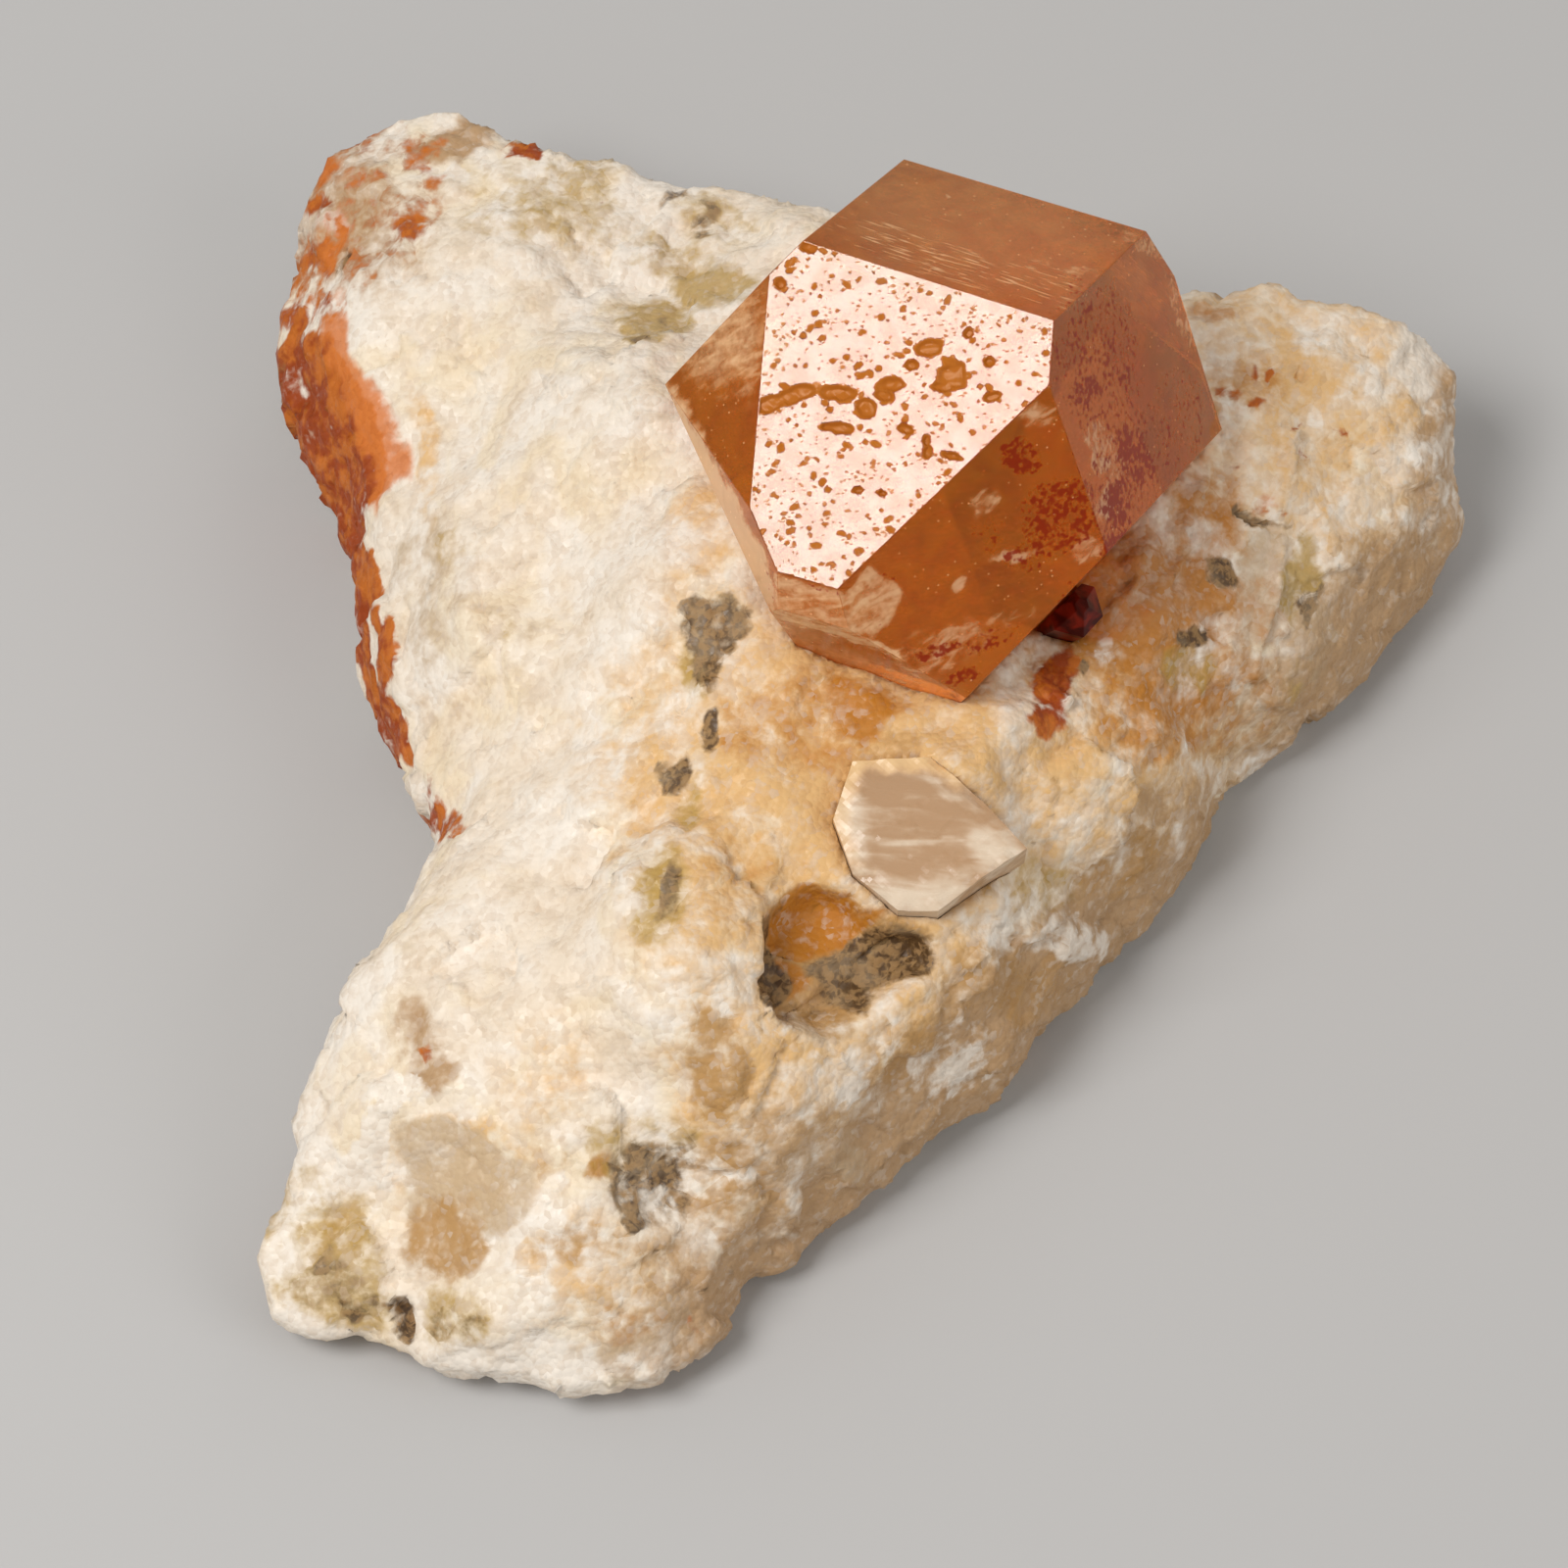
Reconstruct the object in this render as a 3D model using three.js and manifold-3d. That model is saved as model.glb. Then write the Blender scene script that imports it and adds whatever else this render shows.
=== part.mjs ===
// Hematoid quartz in matrix: one large iron-stained quartz crystal, a small dark red crystal and a
// cleaved clear grain, each seated in its own pocket of a broken lump of white carbonate rock.
// Millimetres, +Z up. The lump rests on the flat of its underside.

import * as THREE from 'three';
import { ImprovedNoise } from 'three/addons/math/ImprovedNoise.js';
import { mergeVertices } from 'three/addons/utils/BufferGeometryUtils.js';
import Module from 'manifold-3d';

const wasm = await Module();
wasm.setup();

// Clearance between a seated piece and its pocket
const POCKET_GAP = 0.3;

// Lump: the vertical axis that its sections turn about, and how finely it is divided
const LUMP_AXIS = new THREE.Vector2(2, 11);
const LUMP_COLUMNS = 116;
const LUMP_ROWS = 32;
const TOP_SHARE = 0.66;
const WALL_SHARE = 0.26;

// Lump: shoulder roundness, how far the wall draws in under the rim, and the size of its lumps
const SHOULDER_POWER = 6;
const SHOULDER_ROUND = 0.62;
const UNDERCUT_BASE = 0.06;
const UNDERCUT_PER_MM = 0.011;
const LUMP_WAVE = 9;
const LUMP_HEIGHT = 1.1;
const KNOT_WAVE = 4;
const KNOT_HEIGHT = 0.8;
const RIDGE_WAVE = 13;
const RIDGE_HEIGHT = 1.6;

// Rim of the lump, clockwise from its far left corner: x, y and the height of its widest point
const RIM = [
  [-34, 57.5, 13], [-29.5, 59.3, 15], [-23.5, 59.3, 16], [-20.5, 56.5, 16], [-13.5, 54.2, 17], [-6.5, 51.4, 18],
  [2.5, 49.5, 18], [16, 45, 18], [29, 41, 18], [34.5, 43, 18], [39, 41, 17], [45, 41.3, 15], [49, 38, 11],
  [49.5, 34, 7], [48.5, 29, 4], [44, 22.5, 3], [38.5, 15, 3], [32, 10, 3], [29, 4, 3], [26, -1, 3],
  [21, -5.5, 3], [16, -13.5, 3], [9.6, -18.2, 3], [4.6, -23, 3], [0.2, -27.5, 3], [-3.8, -31.2, 3],
  [-6.5, -36, 3], [-11.5, -37.5, 3], [-18, -37, 3.5], [-22, -37, 3], [-27, -34, 4], [-30.5, -34.5, 3],
  [-34.5, -32, 4], [-35.8, -28, 6], [-33.2, -22.5, 7], [-33.4, -19, 7], [-31.2, -12, 7], [-27.8, -6.5, 7],
  [-25, 0, 7], [-25.2, 3, 7], [-27, 8, 7], [-29.5, 14.5, 6], [-30, 20, 5], [-31.5, 28, 5], [-35.5, 37, 5],
  [-37.5, 43.5, 6], [-36.7, 46.5, 7], [-36, 51, 9], [-35.3, 54.5, 11],
];

// Heights of the upper surface: x, y, z
const TOP_HEIGHTS = [
  [0, 8, 25], [12, 0, 25], [-4, 16, 27], [-9, 28, 26], [8, 24, 27], [20, 30, 24], [4, 42, 24],
  [-7, -14, 24], [-13, -27, 17], [-30, -30, 9.5], [-20, 14, 20], [-26, 32, 17], [-24, 9, 16], [-17, 41, 20],
  [-7, 45, 20], [-28, 52, 18], [37.5, 34.5, 19.5], [40, 27, 17.5], [24, 12, 21], [34, 16, 16.5],
  [9, -7, 22.4], [7.5, -10.5, 21.4], [14.5, -5, 22.2], [17, -8, 18.5], [2, -18, 21], [-20, -8, 18],
  [-6, -30, 11],
];
const HEIGHT_FALLOFF = 3.2;

// Hollows in the lump: centre and half sizes
const HOLLOWS = [
  { at: [4.2, -13.4, 24.2], half: [5.6, 5.2, 4.2] },
  { at: [-26, -34.6, 8.4], half: [2.6, 2.2, 2.6] },
  { at: [-22.5, -33.5, 12], half: [4.5, 2.2, 2.4] },
];

// Large crystal: its centre, and each face's outward direction (degrees round from +X, degrees from
// +Z) with its distance from the centre
const CRYSTAL_CENTRE = new THREE.Vector3(9.1, 22.1, 30.8);
const CRYSTAL_FACES = [
  { face: 'pitted top', azimuth: -122.3, polar: 27.9, distance: 12.4 },
  { face: 'far slope', azimuth: 74.4, polar: 27.1, distance: 14 },
  { face: 'right slope', azimuth: -16.8, polar: 66.3, distance: 14.4 },
  { face: 'front slope', azimuth: -67.3, polar: 63.6, distance: 13.9 },
  { face: 'left triangle', azimuth: -161.5, polar: 49.5, distance: 14.7 },
  { face: 'left strip', azimuth: -154.2, polar: 83.1, distance: 15.5 },
  { face: 'front corner', azimuth: -113.6, polar: 73.9, distance: 18 },
  { face: 'front strip', azimuth: -110.7, polar: 105.5, distance: 17 },
  { face: 'lower right', azimuth: -39.9, polar: 110.6, distance: 15.3 },
  { face: 'lower left', azimuth: -159.6, polar: 107.9, distance: 13.9 },
  { face: 'far left', azimuth: 138.1, polar: 69.3, distance: 13.8 },
  { face: 'far side', azimuth: 67.8, polar: 82.8, distance: 16.1 },
  { face: 'far right', azimuth: 40.6, polar: 91.6, distance: 19.7 },
  { face: 'lower front', azimuth: -119.3, polar: 144.4, distance: 15.9 },
  { face: 'root', azimuth: 0, polar: 180, distance: 13.8 },
];

// Small crystal: a six-sided column with a blunt point
const RED_RADIUS = 2.1;
const RED_COLUMN = 8;
const RED_POINT = 1.6;
const RED_CENTRE = new THREE.Vector3(18.9, 13.2, 20.4);
const RED_LEAN = new THREE.Euler(0.42, 0.25, 0.3);

// Clear grain: outline on its cleaved face, thickness, and the tilt and place of that face
const GRAIN_OUTLINE = [
  [-5, 5], [0.3, 5.3], [3.7, 2.3], [6.7, -1], [3.7, -3], [0.7, -5.3], [-2, -5.3], [-5, -2.7], [-6.3, 1],
];
const GRAIN_DEPTH = 5;
const GRAIN_TILT = THREE.MathUtils.degToRad(17);
const GRAIN_CENTRE = new THREE.Vector3(9.6, -5.5, 23);

// Stock block that faces are cut from
const STOCK = 160;

const noise = new ImprovedNoise();

/** Closed geometry as a solid. */
function solid(geometry) {
  const bare = geometry.clone();
  bare.deleteAttribute('normal');
  bare.deleteAttribute('uv');
  const merged = mergeVertices(bare, 1e-4);
  return new wasm.Manifold(new wasm.Mesh({
    numProp: 3,
    vertProperties: new Float32Array(merged.attributes.position.array),
    triVerts: new Uint32Array(merged.index.array),
  }));
}

/** Solid as flat-shaded geometry. */
function faceted(body) {
  const mesh = body.getMesh();
  const geometry = new THREE.BufferGeometry();
  geometry.setAttribute('position', new THREE.BufferAttribute(new Float32Array(mesh.vertProperties), 3));
  geometry.setIndex(new THREE.BufferAttribute(new Uint32Array(mesh.triVerts), 1));
  const flat = geometry.toNonIndexed();
  flat.computeVertexNormals();
  return flat;
}

/** Named mesh of a solid in its own colour. */
function piece(name, body, color, roughness) {
  const material = new THREE.MeshStandardMaterial({ color, roughness, metalness: 0 });
  const mesh = new THREE.Mesh(faceted(body), material);
  mesh.name = name;
  return mesh;
}

/** Unit vector from an azimuth and a polar angle in degrees. */
function direction(azimuth, polar) {
  const down = THREE.MathUtils.degToRad(polar);
  const round = THREE.MathUtils.degToRad(azimuth);
  return new THREE.Vector3(Math.sin(down) * Math.cos(round), Math.sin(down) * Math.sin(round), Math.cos(down));
}

/** Large crystal, grown outwards by a clearance on every face. */
function crystalSolid(clearance) {
  const { x, y, z } = CRYSTAL_CENTRE;
  let body = solid(new THREE.BoxGeometry(STOCK, STOCK, STOCK).translate(x, y, z));
  for (const { azimuth, polar, distance } of CRYSTAL_FACES) {
    const normal = direction(azimuth, polar);
    const turn = new THREE.Quaternion().setFromUnitVectors(new THREE.Vector3(0, 0, 1), normal);
    const place = normal.clone().multiplyScalar(distance + clearance + STOCK).add(CRYSTAL_CENTRE);
    const waste = new THREE.BoxGeometry(2 * STOCK, 2 * STOCK, 2 * STOCK).applyQuaternion(turn);
    body = body.subtract(solid(waste.translate(place.x, place.y, place.z)));
  }
  return body;
}

/** Small crystal, grown outwards by a clearance and kept clear of the large one. */
function redSolid(clearance) {
  const radius = RED_RADIUS + clearance;
  const column = new THREE.CylinderGeometry(radius, radius, RED_COLUMN, 6);
  const point = new THREE.CylinderGeometry(radius * 0.25, radius, RED_POINT + clearance, 6);
  point.translate(0, (RED_COLUMN + RED_POINT + clearance) / 2, 0);
  const body = solid(column).add(solid(point));
  const upright = new THREE.Matrix4().makeRotationX(Math.PI / 2);
  const lean = new THREE.Matrix4().makeRotationFromEuler(RED_LEAN);
  const place = new THREE.Matrix4().makeTranslation(RED_CENTRE).multiply(lean).multiply(upright);
  return solid(faceted(body).applyMatrix4(place)).subtract(crystalSolid(POCKET_GAP - clearance));
}

/** Clear grain, grown outwards by a clearance. */
function grainSolid(clearance) {
  const outline = GRAIN_OUTLINE.map(([x, y]) => {
    const corner = new THREE.Vector2(x, y);
    return corner.setLength(corner.length() + clearance);
  });
  const block = new THREE.ExtrudeGeometry(new THREE.Shape(outline), {
    depth: GRAIN_DEPTH + 2 * clearance,
    bevelEnabled: false,
  });
  block.translate(0, 0, -GRAIN_DEPTH - clearance);
  block.rotateX(GRAIN_TILT);
  return solid(block.translate(GRAIN_CENTRE.x, GRAIN_CENTRE.y, GRAIN_CENTRE.z));
}

/** Distance to the rim and its height in each direction round the lump's axis. */
function rimTable() {
  const curve = new THREE.CatmullRomCurve3(RIM.map((p) => new THREE.Vector3(...p)), true, 'centripetal');
  const table = curve.getPoints(RIM.length * 6).map((p) => ({
    angle: Math.atan2(p.y - LUMP_AXIS.y, p.x - LUMP_AXIS.x),
    radius: Math.hypot(p.x - LUMP_AXIS.x, p.y - LUMP_AXIS.y),
    height: p.z,
  }));
  return table.sort((a, b) => a.angle - b.angle);
}

/** Rim in one direction, between its two nearest entries. */
function rimAt(table, angle) {
  const after = table.findIndex((entry) => entry.angle > angle);
  const next = table[Math.max(after, 0)];
  const last = table[(Math.max(after, 0) + table.length - 1) % table.length];
  const turn = 2 * Math.PI;
  const span = (next.angle - last.angle + turn) % turn || 1;
  const share = ((angle - last.angle + turn) % turn) / span;
  return {
    radius: THREE.MathUtils.lerp(last.radius, next.radius, share),
    height: THREE.MathUtils.lerp(last.height, next.height, share),
  };
}

/** Height of the upper surface, weighted by the distance to the known heights. */
function topHeight(x, y) {
  let sum = 0;
  let weights = 0;
  for (const [px, py, pz] of TOP_HEIGHTS) {
    const weight = 1 / (Math.hypot(x - px, y - py) + 1.5) ** HEIGHT_FALLOFF;
    sum += weight * pz;
    weights += weight;
  }
  return sum / weights;
}

/** Lumps of two sizes, with sharp broken ridges between them, at a point. */
function lumps(x, y, z) {
  const large = LUMP_HEIGHT * noise.noise(x / LUMP_WAVE, y / LUMP_WAVE, z / LUMP_WAVE);
  const small = KNOT_HEIGHT * noise.noise(x / KNOT_WAVE, y / KNOT_WAVE, z / KNOT_WAVE);
  const ridge = 0.25 - Math.abs(noise.noise(x / RIDGE_WAVE, z / RIDGE_WAVE, y / RIDGE_WAVE));
  return large + small + RIDGE_HEIGHT * ridge;
}

/** Point of the lump's skin at a share of the way from its top to its underside. */
function skinPoint(table, share, angle) {
  const rim = rimAt(table, angle);
  const out = new THREE.Vector2(Math.cos(angle), Math.sin(angle));
  if (share <= TOP_SHARE) {
    const reach = share / TOP_SHARE;
    const plan = out.clone().multiplyScalar(rim.radius * reach).add(LUMP_AXIS);
    const rise = topHeight(plan.x, plan.y) - rim.height;
    const height = rim.height + rise * (1 - reach ** SHOULDER_POWER) ** SHOULDER_ROUND;
    const bump = lumps(plan.x, plan.y, height);
    plan.addScaledVector(out, bump * reach ** 4);
    return new THREE.Vector3(plan.x, plan.y, height + bump * (1 - reach ** 4));
  }
  const undercut = UNDERCUT_BASE + UNDERCUT_PER_MM * rim.height;
  const drop = Math.min((share - TOP_SHARE) / WALL_SHARE, 1);
  const wall = rim.radius * (1 - undercut * drop ** 1.6);
  const inward = Math.max((share - TOP_SHARE - WALL_SHARE) / (1 - TOP_SHARE - WALL_SHARE), 0);
  const height = rim.height * (1 - drop);
  const plan = out.clone().multiplyScalar(wall * (1 - inward)).add(LUMP_AXIS);
  plan.addScaledVector(out, lumps(plan.x, plan.y, height) * (1 - inward));
  return new THREE.Vector3(plan.x, plan.y, height);
}

/** Broken lump of rock with its hollows, before the pockets are cut. */
function lumpSolid() {
  const table = rimTable();
  const skin = new THREE.SphereGeometry(1, LUMP_COLUMNS, LUMP_ROWS);
  const points = skin.attributes.position;
  const point = new THREE.Vector3();
  for (let i = 0; i < points.count; i += 1) {
    point.fromBufferAttribute(points, i);
    const share = Math.acos(THREE.MathUtils.clamp(point.y, -1, 1)) / Math.PI;
    const angle = share < 1e-4 || share > 1 - 1e-4 ? 0 : Math.atan2(-point.z, point.x);
    const placed = skinPoint(table, share, angle);
    points.setXYZ(i, placed.x, placed.y, placed.z);
  }
  let body = solid(skin);
  for (const { at, half } of HOLLOWS) {
    const hollow = new THREE.SphereGeometry(1, 14, 9).scale(...half).translate(...at);
    body = body.subtract(solid(hollow));
  }
  return body;
}

const crystal = crystalSolid(0);
const red = redSolid(0);
const grain = grainSolid(0);
const rock = [crystalSolid, redSolid, grainSolid].reduce(
  (body, seated) => body.subtract(seated(POCKET_GAP)),
  lumpSolid(),
);

const specimen = new THREE.Group();
specimen.add(
  piece('matrix', rock, 0xe9dcc6, 0.75),
  piece('quartz_crystal', crystal, 0xb5683a, 0.12),
  piece('red_crystal', red, 0x4a1411, 0.25),
  piece('clear_grain', grain, 0xe6d6cf, 0.2),
);

// Origin at the middle of the underside
const box = new THREE.Box3().setFromObject(specimen);
const middle = box.getCenter(new THREE.Vector3());
specimen.position.set(-middle.x, -middle.y, -box.min.z);

export default specimen;
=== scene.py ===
"""Hematoid quartz in matrix: the finished surfaces of the specimen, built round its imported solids."""

import logging
import math
import random
from dataclasses import dataclass
from enum import Enum
from typing import Any

import bmesh
import bpy
import numpy as np
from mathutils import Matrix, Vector, noise
from mathutils.bvhtree import BVHTree


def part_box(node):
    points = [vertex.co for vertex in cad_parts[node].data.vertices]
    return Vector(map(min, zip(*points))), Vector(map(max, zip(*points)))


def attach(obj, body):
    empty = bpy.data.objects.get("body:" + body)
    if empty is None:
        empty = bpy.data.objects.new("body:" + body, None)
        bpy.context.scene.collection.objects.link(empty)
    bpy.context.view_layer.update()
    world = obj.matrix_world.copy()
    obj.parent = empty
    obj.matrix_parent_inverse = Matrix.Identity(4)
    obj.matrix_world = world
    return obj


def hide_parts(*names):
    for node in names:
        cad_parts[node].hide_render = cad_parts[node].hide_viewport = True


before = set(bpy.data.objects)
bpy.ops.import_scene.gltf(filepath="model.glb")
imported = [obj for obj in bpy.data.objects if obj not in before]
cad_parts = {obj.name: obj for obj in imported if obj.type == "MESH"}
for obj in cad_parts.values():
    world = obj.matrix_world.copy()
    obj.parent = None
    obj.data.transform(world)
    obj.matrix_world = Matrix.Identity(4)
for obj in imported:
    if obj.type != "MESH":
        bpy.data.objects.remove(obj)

MM = 0.001
BODY = "root"
# Half width in pixels from which an oval fades out from its middle
LARGE_BLOT = 58.0
# Lengths in millimetres of the waves that fray the marks
SLOW_WAVE = 4.2
QUICK_WAVE = 1.2
# Start of the noise, so that each run makes the same rock
NOISE_SEED = 7
LOG = logging.getLogger("specimen")

Colour = tuple[float, float, float]
Pixel = tuple[float, float]


class Slot(Enum):
    """Material slots of the specimen's record."""

    MATRIX = "matrix"
    QUARTZ = "hematoid_quartz"
    RED = "dark_red_quartz"
    GRAIN = "clear_grain"


class Pigment(Enum):
    """Stains and minerals that colour the rock, with painted shade in the tan and pink and a painted pool
    of light in the orange, each a point attribute of its mesh.
    """

    TAN = "tan"
    BROWN = "brown"
    PINK = "pink"
    WHITE = "white"
    OCHRE = "ochre"
    OLIVE = "olive"
    CLEAR = "clear"
    DARK = "dark"
    RUST = "rust"
    ORANGE = "orange"


@dataclass(frozen=True)
class PhotoView:
    """Where the specimen was photographed from: a long lens, looking down on it from the front."""

    image: float = 1600.0
    pixels_per_mm: float = 15.0
    distance: float = 400.0
    elevation: float = 60.0
    aim: tuple[float, float, float] = (-5.9, -10.9, 20.0)
    sensor: float = 36.0

    def back(self) -> Vector:
        """Unit vector from the aim to the camera."""
        tilt = math.radians(self.elevation)
        return Vector((0.0, -math.cos(tilt), math.sin(tilt)))

    def up(self) -> Vector:
        """Unit vector that points up in the picture."""
        tilt = math.radians(self.elevation)
        return Vector((0.0, math.sin(tilt), math.cos(tilt)))

    def place_camera(self) -> bpy.types.Object:
        """Makes the scene's camera.

        Returns:
            The camera object.
        """
        data = bpy.data.cameras.new("camera")
        data.sensor_width = self.sensor
        data.lens = self.sensor * self.distance * self.pixels_per_mm / self.image
        data.clip_start = 0.01
        camera = bpy.data.objects.new("camera", data)
        camera.location = (Vector(self.aim) + self.back() * self.distance) * MM
        camera.rotation_mode = "QUATERNION"
        camera.rotation_quaternion = (-self.back()).to_track_quat("-Z", "Y")
        bpy.context.scene.collection.objects.link(camera)
        bpy.context.scene.camera = camera
        return camera

    def pixels(self, points: np.ndarray) -> np.ndarray:
        """Where points fall in the picture.

        Args:
            points: Rows of x, y, z in metres.

        Returns:
            Rows of pixel column and row.
        """
        local = points / MM - np.array(self.aim)
        depth = local @ np.array(self.back())
        scale = self.pixels_per_mm * self.distance / (self.distance - depth)
        across = self.image / 2 + local[:, 0] * scale
        down = self.image / 2 - (local @ np.array(self.up())) * scale
        return np.stack([across, down], axis=1)


VIEW = PhotoView()


def smooth_step(low: float, high: float, value: np.ndarray) -> np.ndarray:
    """Eases values from 0 at low to 1 at high.

    Args:
        low: Value that gives 0.
        high: Value that gives 1.
        value: Values to ease.

    Returns:
        The eased values.
    """
    share = np.clip((value - low) / (high - low), 0.0, 1.0)
    return share * share * (3.0 - 2.0 * share)


def unit(azimuth: float, polar: float) -> Vector:
    """Unit vector at two angles.

    Args:
        azimuth: Degrees round from +X.
        polar: Degrees down from +Z.

    Returns:
        The vector.
    """
    down = math.radians(polar)
    turn = math.radians(azimuth)
    return Vector((math.sin(down) * math.cos(turn), math.sin(down) * math.sin(turn), math.cos(down)))


@dataclass(frozen=True)
class Blot:
    """Soft oval in the picture: its middle and half sizes in pixels, its turn and its strength."""

    middle: Pixel
    half: Pixel
    turn: float = 0.0
    strength: float = 1.0

    def reach(self, pixels: np.ndarray) -> np.ndarray:
        """How far out of the oval each pixel lies, with 1 on its edge.

        Args:
            pixels: Rows of pixel column and row.

        Returns:
            One number for each row.
        """
        angle = math.radians(self.turn)
        offset = pixels - np.array(self.middle)
        along = offset[:, 0] * math.cos(angle) + offset[:, 1] * math.sin(angle)
        across = offset[:, 1] * math.cos(angle) - offset[:, 0] * math.sin(angle)
        return np.hypot(along / self.half[0], across / self.half[1])

    def weight(self, pixels: np.ndarray) -> np.ndarray:
        """Strength at each pixel, which fades out across the edge, or from the middle of a large oval."""
        start = 0.55 if min(self.half) < LARGE_BLOT else 0.15
        return self.strength * (1.0 - smooth_step(start, 1.9 - start, self.reach(pixels)))


@dataclass(frozen=True)
class Patch:
    """Straight-edged patch in the picture: its corners in pixels, its strength and its edge's width."""

    corners: tuple[Pixel, ...]
    strength: float = 1.0
    fade: float = 6.0

    def weight(self, pixels: np.ndarray) -> np.ndarray:
        """Strength at each pixel, which fades out across the patch's edge.

        Args:
            pixels: Rows of pixel column and row.

        Returns:
            One number for each row.
        """
        inside = np.zeros(len(pixels), dtype=bool)
        nearest = np.full(len(pixels), np.inf)
        for start, end in zip(self.corners, self.corners[1:] + self.corners[:1]):
            run = np.subtract(end, start)
            offset = pixels - np.array(start)
            share = np.clip(offset @ run / (run @ run), 0.0, 1.0)
            nearest = np.minimum(nearest, np.linalg.norm(offset - share[:, None] * run, axis=1))
            crossed = (offset[:, 1] < 0.0) != (pixels[:, 1] < end[1])
            inside ^= crossed & (offset[:, 0] < offset[:, 1] * run[0] / (run[1] or 1.0))
        return self.strength * smooth_step(-self.fade, self.fade, np.where(inside, nearest, -nearest))


Mark = Blot | Patch


class Sock:
    """A shader socket that Python's operators can work on."""

    def __init__(self, shader: "Shader", socket: bpy.types.NodeSocket) -> None:
        """Keeps the shader and the socket."""
        self.shader = shader
        self.socket = socket

    def __add__(self, other: Any) -> "Sock":
        """Sum."""
        return self.shader.math("ADD", self, other)

    def __sub__(self, other: Any) -> "Sock":
        """Difference."""
        return self.shader.math("SUBTRACT", self, other)

    def __rsub__(self, other: Any) -> "Sock":
        """Difference from a number."""
        return self.shader.math("SUBTRACT", other, self)

    def __mul__(self, other: Any) -> "Sock":
        """Product."""
        return self.shader.math("MULTIPLY", self, other)

    __radd__ = __add__
    __rmul__ = __mul__


class Shader:
    """One material's node tree, with a Principled shader that its finish feeds."""

    def __init__(self, name: str) -> None:
        """Makes the material and its main shader.

        Args:
            name: The material's name.
        """
        self.material = bpy.data.materials.new(name)
        self.material.use_nodes = True
        self.tree = self.material.node_tree
        self.tree.nodes.clear()
        self.output = self.tree.nodes.new("ShaderNodeOutputMaterial")
        self.main = self.tree.nodes.new("ShaderNodeBsdfPrincipled")
        self.tree.links.new(self.main.outputs["BSDF"], self.output.inputs["Surface"])
        where = self.tree.nodes.new("ShaderNodeTexCoord").outputs["Object"]
        scale = self.node("ShaderNodeVectorMath", {"operation": "SCALE"}, {0: where, "Scale": 1.0 / MM})
        self.place = scale.outputs["Vector"]

    def node(self, kind: str, settings: dict[str, Any], sockets: dict[Any, Any]) -> bpy.types.Node:
        """Adds a node.

        Args:
            kind: Type name of the node.
            settings: Properties to set first.
            sockets: Values or links for its input sockets, by name or index.

        Returns:
            The node.
        """
        made = self.tree.nodes.new(kind)
        for key, value in settings.items():
            setattr(made, key, value)
        for key, value in sockets.items():
            self.feed(made.inputs[key], value)
        return made

    def feed(self, socket: bpy.types.NodeSocket, value: Any) -> None:
        """Links or sets one input socket.

        Args:
            socket: The input socket.
            value: A socket to link, or a value to set.
        """
        if isinstance(value, Sock):
            value = value.socket
        if isinstance(value, bpy.types.NodeSocket):
            self.tree.links.new(value, socket)
        elif isinstance(value, tuple) and len(value) == 3 and socket.type == "RGBA":
            socket.default_value = (*value, 1.0)
        else:
            socket.default_value = value

    def math(self, operation: str, first: Any, second: Any = 0.0) -> Sock:
        """Math node as a value."""
        made = self.node("ShaderNodeMath", {"operation": operation}, {0: first, 1: second})
        return Sock(self, made.outputs[0])

    def attribute(self, name: str) -> Sock:
        """Point attribute of the mesh as a value."""
        made = self.node("ShaderNodeAttribute", {"attribute_name": name}, {})
        return Sock(self, made.outputs["Fac"])

    def clouds(self, size: float, detail: float = 3.0, warp: float = 0.0, place: Any = None) -> Sock:
        """Noise with features of a size in millimetres.

        Args:
            size: Size of the largest features.
            detail: Octaves.
            warp: Distortion.
            place: Coordinates in millimetres, or None for the object's own.

        Returns:
            Values round 0.5.
        """
        sockets = {"Vector": place or self.place, "Scale": 1.0 / size}
        sockets |= {"Detail": detail, "Distortion": warp}
        return Sock(self, self.node("ShaderNodeTexNoise", {}, sockets).outputs["Fac"])

    def cells(self, size: float, output: str) -> Sock:
        """Voronoi cells of a size in millimetres, as the named output."""
        made = self.node("ShaderNodeTexVoronoi", {}, {"Vector": self.place, "Scale": 1.0 / size})
        return Sock(self, made.outputs[output])

    def along(self, way: tuple[float, float, float], stretch: float) -> Any:
        """Coordinates in which patterns are stretched along a direction.

        Args:
            way: The direction.
            stretch: How many times longer patterns are along it.

        Returns:
            The socket with the coordinates.
        """
        turn = Vector((1.0, 0.0, 0.0)).rotation_difference(Vector(way).normalized()).to_euler()
        sockets = {"Vector": self.place, "Rotation": tuple(turn), "Scale": (stretch, 1.0, 1.0)}
        return self.node("ShaderNodeMapping", {"vector_type": "TEXTURE"}, sockets).outputs["Vector"]

    def ease(self, value: Any, low: float, high: float) -> Sock:
        """Eases a value.

        Args:
            value: Value to ease.
            low: Value that gives 0.
            high: Value that gives 1.

        Returns:
            The eased value.
        """
        sockets = {"Value": value, "From Min": low, "From Max": high}
        made = self.node("ShaderNodeMapRange", {"interpolation_type": "SMOOTHSTEP"}, sockets)
        return Sock(self, made.outputs["Result"])

    def mix(self, first: Any, second: Any, share: Any) -> Sock:
        """Colour between two colours."""
        made = self.node("ShaderNodeMix", {"data_type": "RGBA"}, {"Factor": share, 6: first, 7: second})
        return Sock(self, made.outputs[2])

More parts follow.
